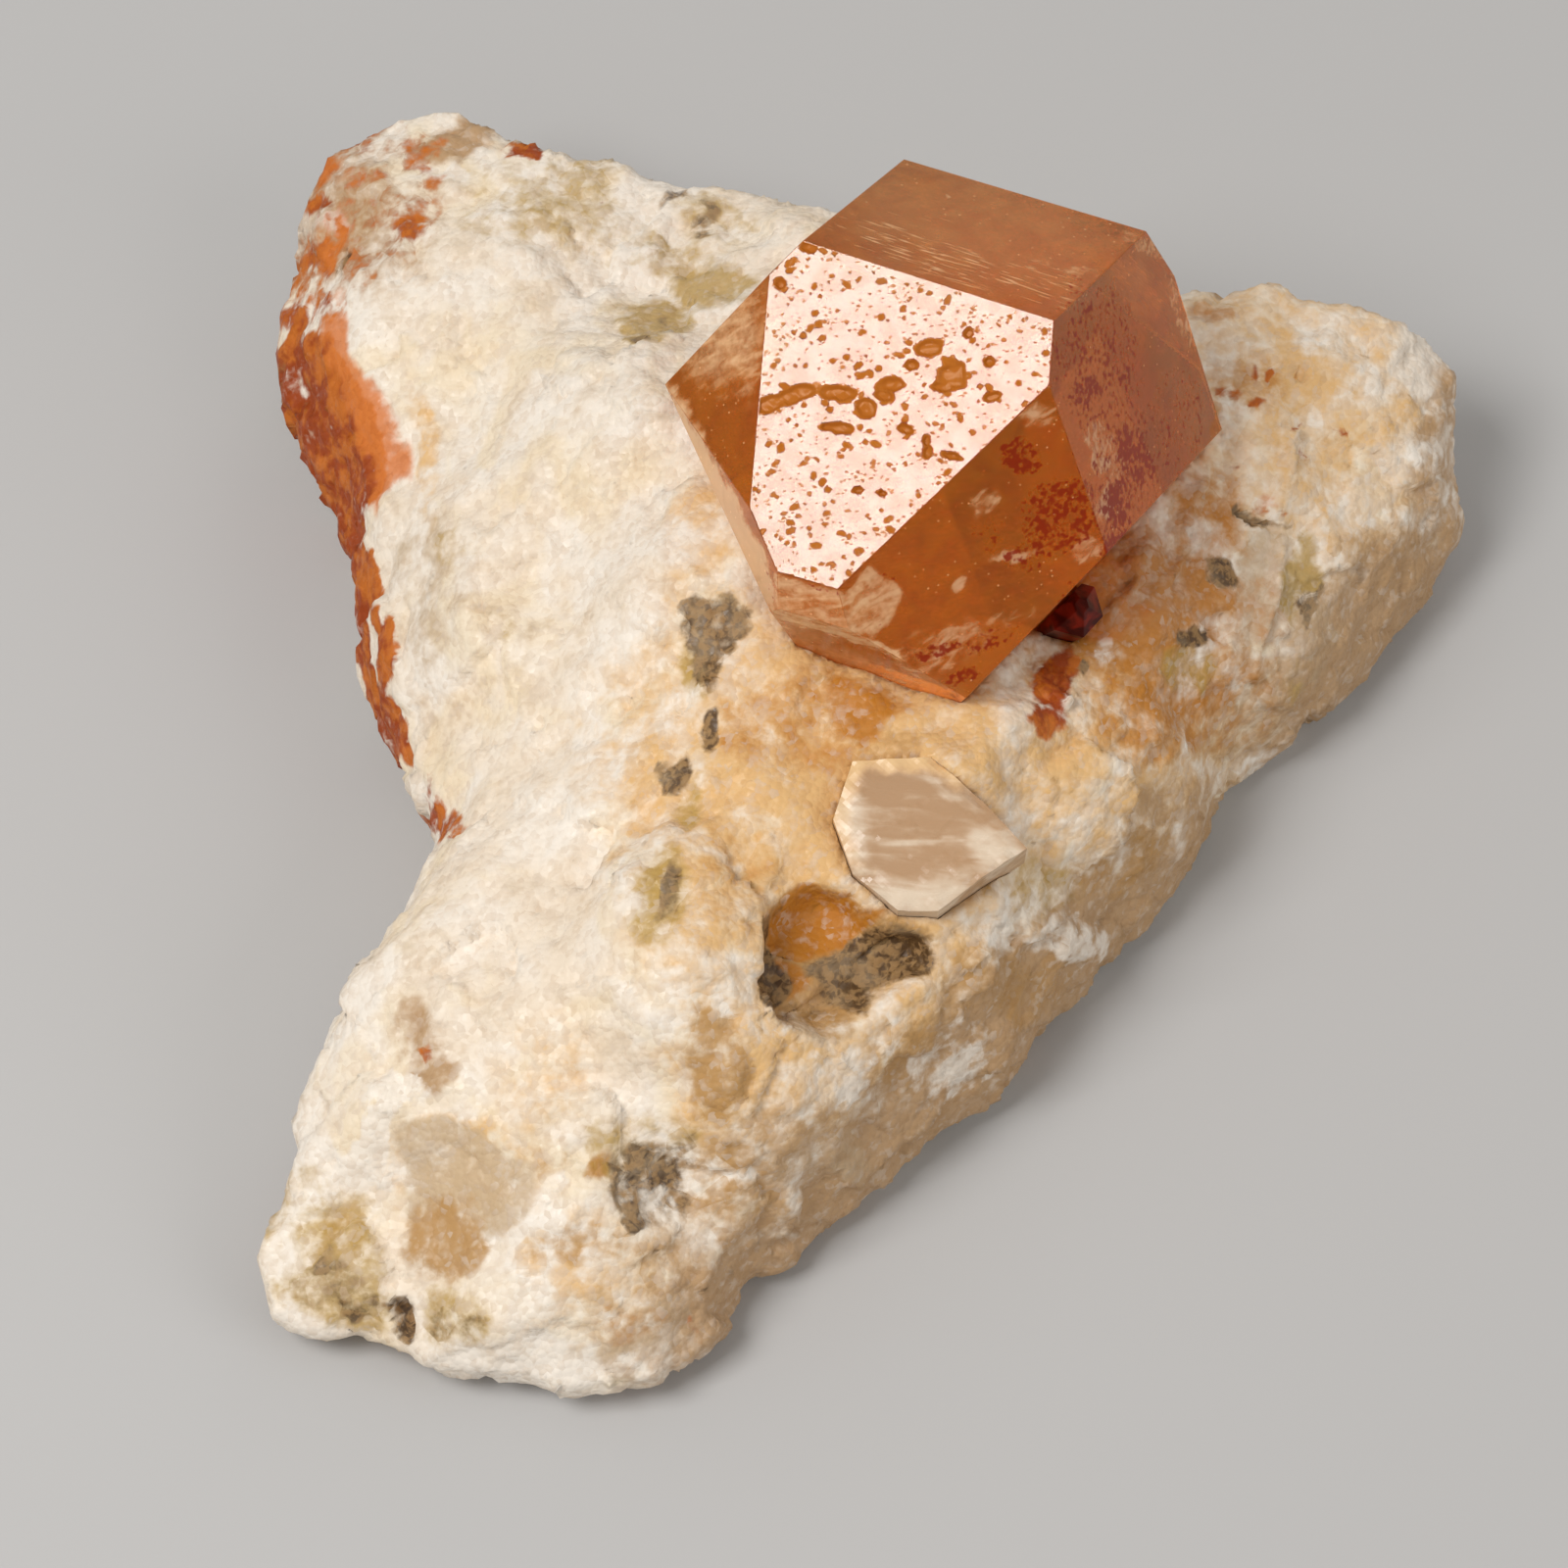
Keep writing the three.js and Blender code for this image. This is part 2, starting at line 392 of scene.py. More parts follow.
    def multiply(self, first: Any, second: Any, share: float) -> Sock:
        """Product of two colours.

        Args:
            first: Colour that shows where the share is 0.
            second: Colour to multiply by.
            share: How much of the product shows.

        Returns:
            The colour.
        """
        settings = {"data_type": "RGBA", "blend_type": "MULTIPLY"}
        made = self.node("ShaderNodeMix", settings, {"Factor": share, 6: first, 7: second})
        return Sock(self, made.outputs[2])

    def bump(self, height: Any, depth: float, strength: float) -> None:
        """Roughens the main shader's normal.

        Args:
            height: Heights from 0 to 1.
            depth: Depth of a height of 1 in millimetres.
            strength: How strongly the normal follows.
        """
        sockets = {"Height": height, "Distance": depth * MM, "Strength": strength}
        made = self.node("ShaderNodeBump", {}, sockets)
        self.feed(self.main.inputs["Normal"], made.outputs["Normal"])

    def dress(self, values: dict[str, Any]) -> None:
        """Sets or links sockets of the main shader."""
        for key, value in values.items():
            self.feed(self.main.inputs[key], value)

    def cloud(self, values: dict[str, Any], share: Any) -> None:
        """Mixes a second, cloudy shader into the main one.

        Args:
            values: Its sockets. It takes the main shader's normal.
            share: How much of it shows.
        """
        second = self.node("ShaderNodeBsdfPrincipled", {}, values)
        for link in self.main.inputs["Normal"].links:
            self.tree.links.new(link.from_socket, second.inputs["Normal"])
        shaders = {"Fac": share, 1: self.main.outputs["BSDF"], 2: second.outputs["BSDF"]}
        mixed = self.node("ShaderNodeMixShader", {}, shaders)
        self.tree.links.new(mixed.outputs["Shader"], self.output.inputs["Surface"])

    def absorb(self, colour: Colour, density: float) -> None:
        """Fills the piece with an absorbing body colour."""
        body = self.node("ShaderNodeVolumeAbsorption", {}, {"Color": colour, "Density": density})
        self.tree.links.new(body.outputs["Volume"], self.output.inputs["Volume"])


@dataclass(frozen=True)
class Wash:
    """A layer of colour on the rock: its colour, the shares at which it starts and is full, its edge's
    raggedness and its cover.
    """

    pigment: Pigment
    colour: Colour
    start: float
    full: float
    edge: float
    cover: float = 1.0


@dataclass(frozen=True)
class RockFinish:
    """White sugary carbonate with tan, rusty, olive and dark mineral staining; its tan and pink also stand
    for painted shade on the faces turned away from the lamp, and its orange for a painted pool of light.
    """

    white: Colour = (0.90, 0.81, 0.70)
    cream: Colour = (0.84, 0.69, 0.52)
    yellow: Colour = (0.86, 0.68, 0.42)
    clear: Colour = (0.55, 0.41, 0.26)
    rust_light: Colour = (0.56, 0.15, 0.015)
    dark_light: Colour = (0.34, 0.20, 0.08)
    grey: Colour = (0.44, 0.32, 0.19)
    grain_shade: Colour = (0.74, 0.65, 0.56)
    grain_size: float = 0.5
    # Stains, and painted shade in the tan and pink, that lie under the white flecks, from the lowest up
    washes: tuple[Wash, ...] = (
        # Tan and pink are partly painted shade on the faces turned away from the lamp; the pink is
        # darkened for it
        Wash(Pigment.TAN, (0.76, 0.47, 0.20), 0.02, 0.9, 0.7),
        Wash(Pigment.PINK, (0.48, 0.29, 0.14), 0.05, 0.8, 0.6, 0.95),
        Wash(Pigment.CLEAR, clear, 0.1, 0.9, 0.6, 0.8),
        Wash(Pigment.BROWN, (0.48, 0.26, 0.085), 0.1, 0.95, 0.8, 0.9),
        Wash(Pigment.OCHRE, (0.50, 0.18, 0.012), 0.1, 0.95, 0.6, 0.92),
        Wash(Pigment.OLIVE, (0.48, 0.30, 0.07), 0.1, 0.95, 0.8, 0.85),
        Wash(Pigment.WHITE, white, 0.2, 1.0, 1.3, 0.85),
    )
    rust: Wash = Wash(Pigment.RUST, (0.34, 0.055, 0.005), 0.3, 0.9, 0.9)
    orange: Wash = Wash(Pigment.ORANGE, (0.68, 0.19, 0.03), 0.1, 1.1, 0.6, 0.9)
    dark: Wash = Wash(Pigment.DARK, (0.075, 0.036, 0.012), 0.2, 0.9, 0.9, 0.95)

    def material(self) -> bpy.types.Material:
        """Makes the rock's material.

        Returns:
            The material.
        """
        s = Shader("sugary_rock")
        broad = s.clouds(14.0, 3.0)
        patchy = s.clouds(3.6, 5.0, 0.5)
        fine = s.clouds(1.1, 4.0)
        grains = s.cells(self.grain_size, "Distance")
        tint = s.cells(self.grain_size, "Color")
        flake = s.cells(1.7, "Color")
        ragged = (patchy - 0.5) * 2.0 + (fine - 0.5) * 1.7 + (flake - 0.5) * 0.35

        def wash_share(wash: Wash) -> Sock:
            """Share of a layer of colour, with a ragged edge.

            Args:
                wash: The layer of colour.

            Returns:
                The share.
            """
            mark = s.attribute(wash.pigment.value)
            frayed = mark + ragged * wash.edge * s.ease(mark, 0.02, 0.3)
            return s.ease(frayed, wash.start, wash.full) * wash.cover

        # Sugary base
        colour = s.mix(self.white, self.cream, s.ease(broad * 0.5 + patchy * 0.5, 0.40, 0.62) * 0.75)
        colour = s.mix(colour, self.yellow, s.ease(s.clouds(7.0, 3.0, 1.0), 0.48, 0.7) * 0.5)
        colour = s.mix(colour, self.clear, s.ease(patchy * 0.6 + fine * 0.4, 0.54, 0.66) * 0.35)
        # Stains, with painted shade in the tan and pink and a painted pool of light in the orange
        for wash in self.washes:
            colour = s.mix(colour, wash.colour, wash_share(wash))
        # White flecks: partly white grains, partly painted glints of the sugary grains
        flecks = s.ease(fine + (tint - 0.5) * 0.5, 0.55, 0.8)
        colour = s.mix(colour, self.white, flecks * 0.35)
        rusty = s.ease(patchy + (fine - 0.5) * 0.8, 0.42, 0.66)
        colour = s.mix(colour, s.mix(self.rust.colour, self.rust_light, rusty), wash_share(self.rust))
        # Orange, which also paints a pool of light where the large crystal's shadow falls
        colour = s.mix(colour, self.orange.colour, wash_share(self.orange))
        # Dark minerals, and the dark colour inside the hollow
        specks = s.clouds(0.55, 3.0, 0.5)
        dark_tone = s.mix(self.dark.colour, self.dark_light, s.ease(specks * 0.75 + tint * 0.25, 0.40, 0.62))
        dark_tone = s.mix(dark_tone, self.grey, s.ease(patchy, 0.5, 0.64) * 0.35)
        colour = s.mix(colour, dark_tone, wash_share(self.dark))
        # Shade of single grains
        shade = s.mix((1.0, 1.0, 1.0), self.grain_shade, s.ease(tint * 0.5 + specks * 0.5, 0.42, 0.75))
        colour = s.multiply(colour, shade, 0.45)
        rough = 0.36 + s.ease(tint, 0.1, 0.7) * 0.4
        s.dress({
            "Base Color": colour,
            "Roughness": rough,
            "IOR": 1.55,
            "Specular IOR Level": 0.3,
        })
        s.bump(grains * -0.5 + fine * 0.5 + tint * 0.3 + flake * 0.3, 0.4, 0.36)
        return s.material


@dataclass(frozen=True)
class QuartzFinish:
    """Clear orange-brown quartz with red iron clouds, pale veils and a finely ridged far slope."""

    clear: Colour = (1.0, 0.80, 0.56)
    clear_red: Colour = (0.55, 0.05, 0.015)
    honey: Colour = (0.88, 0.27, 0.008)
    caramel: Colour = (0.82, 0.38, 0.12)
    red: Colour = (0.27, 0.012, 0.001)
    veil: Colour = (0.84, 0.52, 0.29)
    pale: Colour = (0.92, 0.58, 0.31)
    pit: Colour = (0.36, 0.11, 0.02)
    body: Colour = (0.965, 0.60, 0.06)
    density: float = 90.0
    cloudy: float = 0.34
    gleam: Colour = (1.0, 0.72, 0.50)
    shine: float = 0.14
    ridge_way: tuple[float, float, float] = (0.911, -0.404, 0.077)
    fibre_way: tuple[float, float, float] = (0.90, 0.05, 0.43)

    def material(self) -> bpy.types.Material:
        """Makes the large crystal's material.

        Returns:
            The material.
        """
        s = Shader("hematoid_quartz")
        # Honey-coloured body
        broad = s.clouds(8.0, 3.0, 0.6)
        clouds = s.clouds(2.2, 5.0, 0.9)
        flecks = s.clouds(0.42, 3.0)
        haze = s.attribute("haze")
        colour = s.mix(self.honey, self.caramel, s.ease(haze + (broad - 0.5) * 1.2, 0.1, 0.9))
        # Pale veils and faces
        fibres = s.clouds(0.7, 5.0, 0.6, s.along(self.fibre_way, 7.0))
        veil = s.attribute("veil")
        wisps = (clouds - 0.5) * 1.2 + (fibres - 0.5) * 2.2
        pale = s.ease(veil + wisps * s.ease(veil, 0.03, 0.3), 0.2, 1.1)
        colour = s.mix(colour, self.veil, pale * 0.9)
        facet = s.attribute("pale")
        uneven = (fibres - 0.5) * 1.1 + (flecks - 0.5) * 0.5
        facet = s.ease(facet + uneven * s.ease(facet, 0.03, 0.3), 0.1, 0.9)
        colour = s.mix(colour, self.pale, facet)
        # Red iron clouds
        iron = s.attribute("iron")
        grainy = (clouds - 0.5) * 1.4 + (flecks - 0.5) * 2.6
        red = s.ease(iron + grainy * s.ease(iron, 0.03, 0.4), 0.3, 1.0)
        colour = s.mix(colour, self.red, red * 0.95)
        # Growth ridges, dust and etched pits
        ridges = s.clouds(0.24, 4.0, 0.0, s.along(self.ridge_way, 8.0))
        ridged = s.attribute("ridged")
        lines = s.ease(ridges + ridged * 0.12, 0.64, 0.8) * ridged
        colour = s.mix(colour, self.veil, lines * 0.8)
        dust = s.ease(s.cells(0.7, "Distance"), 0.16, 0.05) * s.ease(s.clouds(3.0, 2.0), 0.42, 0.62)
        colour = s.mix(colour, self.veil, dust * 0.6)
        pit = s.ease(s.attribute("pit"), 0.15, 0.7)
        colour = s.mix(colour, self.pit, pit * 0.8)
        coat = s.attribute("bright") * (0.66 + s.ease(s.clouds(1.3, 4.0), 0.4, 0.6) * 0.28)
        # Clear glass with a cloudy share
        s.dress({
            "Base Color": s.mix(self.clear, self.clear_red, red * 0.9),
            "Roughness": 0.03 + pit * 0.35 + pale * 0.08,
            "IOR": 1.544,
            "Specular IOR Level": self.shine,
            "Specular Tint": (*self.gleam, 1.0),
            "Transmission Weight": 1.0,
            "Coat Weight": coat,
            "Coat Roughness": 0.03,
        })
        s.bump(s.clouds(1.6, 3.0) * 0.5 + ridges * ridged * 2.5 + flecks * 0.1, 0.05, 0.14)
        hazy = self.cloudy + haze * 0.12 + pale * 0.32 + facet * 0.35 + red * 0.4
        hazy = hazy + pit * 0.7 - s.attribute("bright") * 0.16 + lines * 0.4 + dust * 0.4
        s.cloud({
            "Base Color": colour,
            "Roughness": 0.12,
            "IOR": 1.544,
            "Specular IOR Level": self.shine,
            "Specular Tint": (*self.gleam, 1.0),
            "Coat Weight": coat,
            "Coat Roughness": 0.03,
        }, s.ease(hazy + (clouds - 0.5) * 0.25, 0.0, 1.1))
        s.absorb(self.body, self.density)
        return s.material


@dataclass(frozen=True)
class DarkRedFinish:
    """Quartz so full of iron that it is almost opaque."""

    deep: Colour = (0.05, 0.003, 0.002)
    lit: Colour = (0.26, 0.016, 0.006)

    def material(self) -> bpy.types.Material:
        """Makes the small crystal's material.

        Returns:
            The material.
        """
        s = Shader("dark_red_quartz")
        colour = s.mix(self.deep, self.lit, s.ease(s.clouds(1.6, 4.0, 0.5), 0.4, 0.65))
        s.dress({
            "Base Color": colour,
            "Roughness": 0.3,
            "IOR": 1.544,
            "Specular IOR Level": 0.12,
            "Specular Tint": (1.0, 0.4, 0.3, 1.0),
            "Transmission Weight": 0.1,
        })
        s.bump(s.clouds(0.7, 3.0), 0.04, 0.2)
        return s.material


@dataclass(frozen=True)
class ClearFinish:
    """Clear, cleaved carbonate with milky cracks."""

    clear: Colour = (0.96, 0.84, 0.74)
    water: Colour = (0.66, 0.39, 0.20)
    milk: Colour = (0.80, 0.64, 0.47)
    rock: Colour = (0.80, 0.53, 0.26)
    body: Colour = (0.90, 0.74, 0.60)
    density: float = 50.0

    def material(self) -> bpy.types.Material:
        """Makes the clear grain's material.

        Returns:
            The material.
        """
        s = Shader("clear_carbonate")
        layers = s.clouds(0.9, 5.0, 0.6, s.along((0.97, -0.1, 0.1), 5.0))
        mottle = s.clouds(1.4, 4.0) - 0.5
        milky = s.ease(s.attribute("milk") + (layers - 0.5) * 2.0 + mottle * 0.7, -0.15, 1.1)
        colour = s.mix(self.water, self.milk, milky)
        edge = s.ease(s.attribute("edge") + mottle * 0.9, 0.2, 0.8)
        colour = s.mix(colour, self.rock, edge * (1.0 - s.attribute("milk")))
        s.dress({
            "Base Color": self.clear,
            "Roughness": 0.08 + milky * 0.2,
            "IOR": 1.6,
            "Transmission Weight": 1.0,
        })
        s.bump(layers + s.clouds(0.5, 3.0) * 0.3, 0.12, 0.3)
        hazy = s.ease(0.62 + milky * 0.2 + edge * 0.4, 0.0, 1.0)
        s.cloud({"Base Color": colour, "Roughness": 0.35, "IOR": 1.6}, hazy)
        s.absorb(self.body, self.density)
        return s.material


@dataclass(frozen=True)
class FloorFinish:
    """Plain pale studio floor."""

    pale: Colour = (0.50, 0.49, 0.48)

    def material(self) -> bpy.types.Material:
        """Makes the floor's material.

        Returns:
            The material.
        """
        s = Shader("pale_floor")
        s.dress({"Base Color": self.pale, "Roughness": 0.7})
        return s.material


class Piece:
    """A piece of the specimen that stands in for one solid of the frame."""

    node: str
    name: str
    slot: Slot

    def solid(self) -> bmesh.types.BMesh:
        """Copy of the solid with its loose triangles merged.

        Returns:
            A new bmesh in metres.
        """
        shape = bmesh.new()
        shape.from_mesh(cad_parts[self.node].data)
        bmesh.ops.remove_doubles(shape, verts=shape.verts, dist=2e-6)
        return shape

    def flat_faced(self) -> bmesh.types.BMesh:
        """Copy of the solid with one face to each flat.

        Returns:
            A new bmesh in metres.
        """
        shape = self.solid()
        flat = math.radians(0.6)
        bmesh.ops.dissolve_limit(shape, angle_limit=flat, verts=shape.verts, edges=shape.edges)
        return shape

    def bevelled(self, width: float) -> bmesh.types.BMesh:
        """Flat-faced copy of the solid with rounded edges.

        Args:
            width: Width of an edge in millimetres.

        Returns:
            A new bmesh in metres.
        """
        shape = self.flat_faced()
        bmesh.ops.bevel(shape, geom=shape.edges[:], offset=width * MM, affect="EDGES", segments=2,
                        profile=0.5, material=-1, clamp_overlap=True)
        bmesh.ops.recalc_face_normals(shape, faces=shape.faces)
        return shape

    def place(self, shape: bmesh.types.BMesh, material: bpy.types.Material) -> bpy.types.Object:
        """Makes the piece's object and puts it in the specimen.

        Args:
            shape: The finished shape, which is freed.
            material: The piece's finish.

        Returns:
            The object.
        """
        mesh = bpy.data.meshes.new(self.name)
        shape.to_mesh(mesh)
        shape.free()
        return self.place_mesh(mesh, material)

    def place_mesh(self, mesh: bpy.types.Mesh, material: bpy.types.Material) -> bpy.types.Object:
        """Makes the piece's object from a mesh and puts it in the specimen.

        Args:
            mesh: The finished mesh.
            material: The piece's finish.

        Returns:
            The object.
        """
        mesh.materials.clear()
        mesh.materials.append(material)
        piece = bpy.data.objects.new(self.name, mesh)
        bpy.context.scene.collection.objects.link(piece)
        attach(piece, BODY)
        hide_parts(self.node)
        mesh.calc_loop_triangles()
        LOG.info("%s: %d triangles", self.name, len(mesh.loop_triangles))
        return piece


def coordinates(mesh: bpy.types.Mesh, key: str = "co") -> np.ndarray:
    """Vertex places or normals of a mesh.

    Args:
        mesh: The mesh.
        key: "co" or "normal".

    Returns:
        Rows of x, y, z.
    """
    values = np.zeros(len(mesh.vertices) * 3)
    mesh.vertices.foreach_get(key, values)
    return values.reshape(-1, 3)


def ragged_pixels(points: np.ndarray, wide: float, narrow: float) -> np.ndarray:
    """Where points fall in the picture, shifted to and fro so that marks get ragged outlines.

    Args:
        points: Rows of x, y, z in metres.
        wide: Largest slow shift in pixels.
        narrow: Largest quick shift in pixels.

    Returns:
        Rows of pixel column and row.
    """
    spots = [Vector(p) / MM for p in points]
    slow = [noise.noise_vector(spot / SLOW_WAVE) * wide for spot in spots]
    quick = [noise.noise_vector(spot / QUICK_WAVE) * narrow for spot in spots]
    return VIEW.pixels(points) + np.array(slow)[:, :2] + np.array(quick)[:, :2]


def strongest(marks: list[Mark], pixels: np.ndarray) -> np.ndarray:
    """Strength of the strongest of some marks at each pixel."""
    return np.max([mark.weight(pixels) for mark in marks], axis=0)


def store(mesh: bpy.types.Mesh, name: str, values: np.ndarray) -> None:
    """Keeps one number for each vertex as a point attribute."""
    mesh.attributes.new(name, "FLOAT", "POINT").data.foreach_set("value", values.astype(np.float32))


def cut_grid(shape: bmesh.types.BMesh, face: bmesh.types.BMFace, spacing: float) -> None:
    """Cuts a face into a fine grid, so that pits and marks can be set in it.

    Args:
        shape: The shape, whose neighbouring faces keep their edges.
        face: The face to cut.
        spacing: Width of a square in millimetres.
    """
    normal = face.normal.copy()
    across = normal.orthogonal().normalized()
    left = [face]
    for axis in (across, normal.cross(across)):
        places = [v.co.dot(axis) for part in left for v in part.verts]
        low, high = min(places), max(places)
        done = []
        for cut in range(1, int((high - low) / (spacing * MM))):
            level = low + cut * spacing * MM
            parts = set(left)
            parts.update(e for part in left for e in part.edges)
            parts.update(v for part in left for v in part.verts)
            made = bmesh.ops.bisect_plane(
                shape, geom=list(parts), dist=1e-8, plane_co=axis * level, plane_no=axis)
            faces = [g for g in made["geom"] if isinstance(g, bmesh.types.BMFace)]
            done += [f for f in faces if f.calc_center_median().dot(axis) < level]
            left = [f for f in faces if f.calc_center_median().dot(axis) >= level]
        left += done


def segment_distance(point: Vector, start: Vector, end: Vector) -> float:
    """Distance from a point to a straight edge.

    Args:
        point: The point.
        start: One end of the edge.
        end: Its other end.

    Returns:
        The distance.
    """
    run = end - start
    share = max(0.0, min(1.0, (point - start).dot(run) / run.length_squared))
    return (point - start - run * share).length


def ovals(*rows: tuple[float, ...]) -> list[Blot]:
    """Ovals from rows of middle column and row, half width and half height, turn and strength."""
    return [Blot((x, y), (wide, high), *rest) for x, y, wide, high, *rest in rows]


# Outline of the hollow in front of the grain, in the picture
HOLLOW = ((786, 935), (800, 922), (830, 905), (870, 914), (905, 938), (945, 958), (950, 985), (925, 1003),
          (880, 1035), (845, 1054), (800, 1036), (784, 1000))
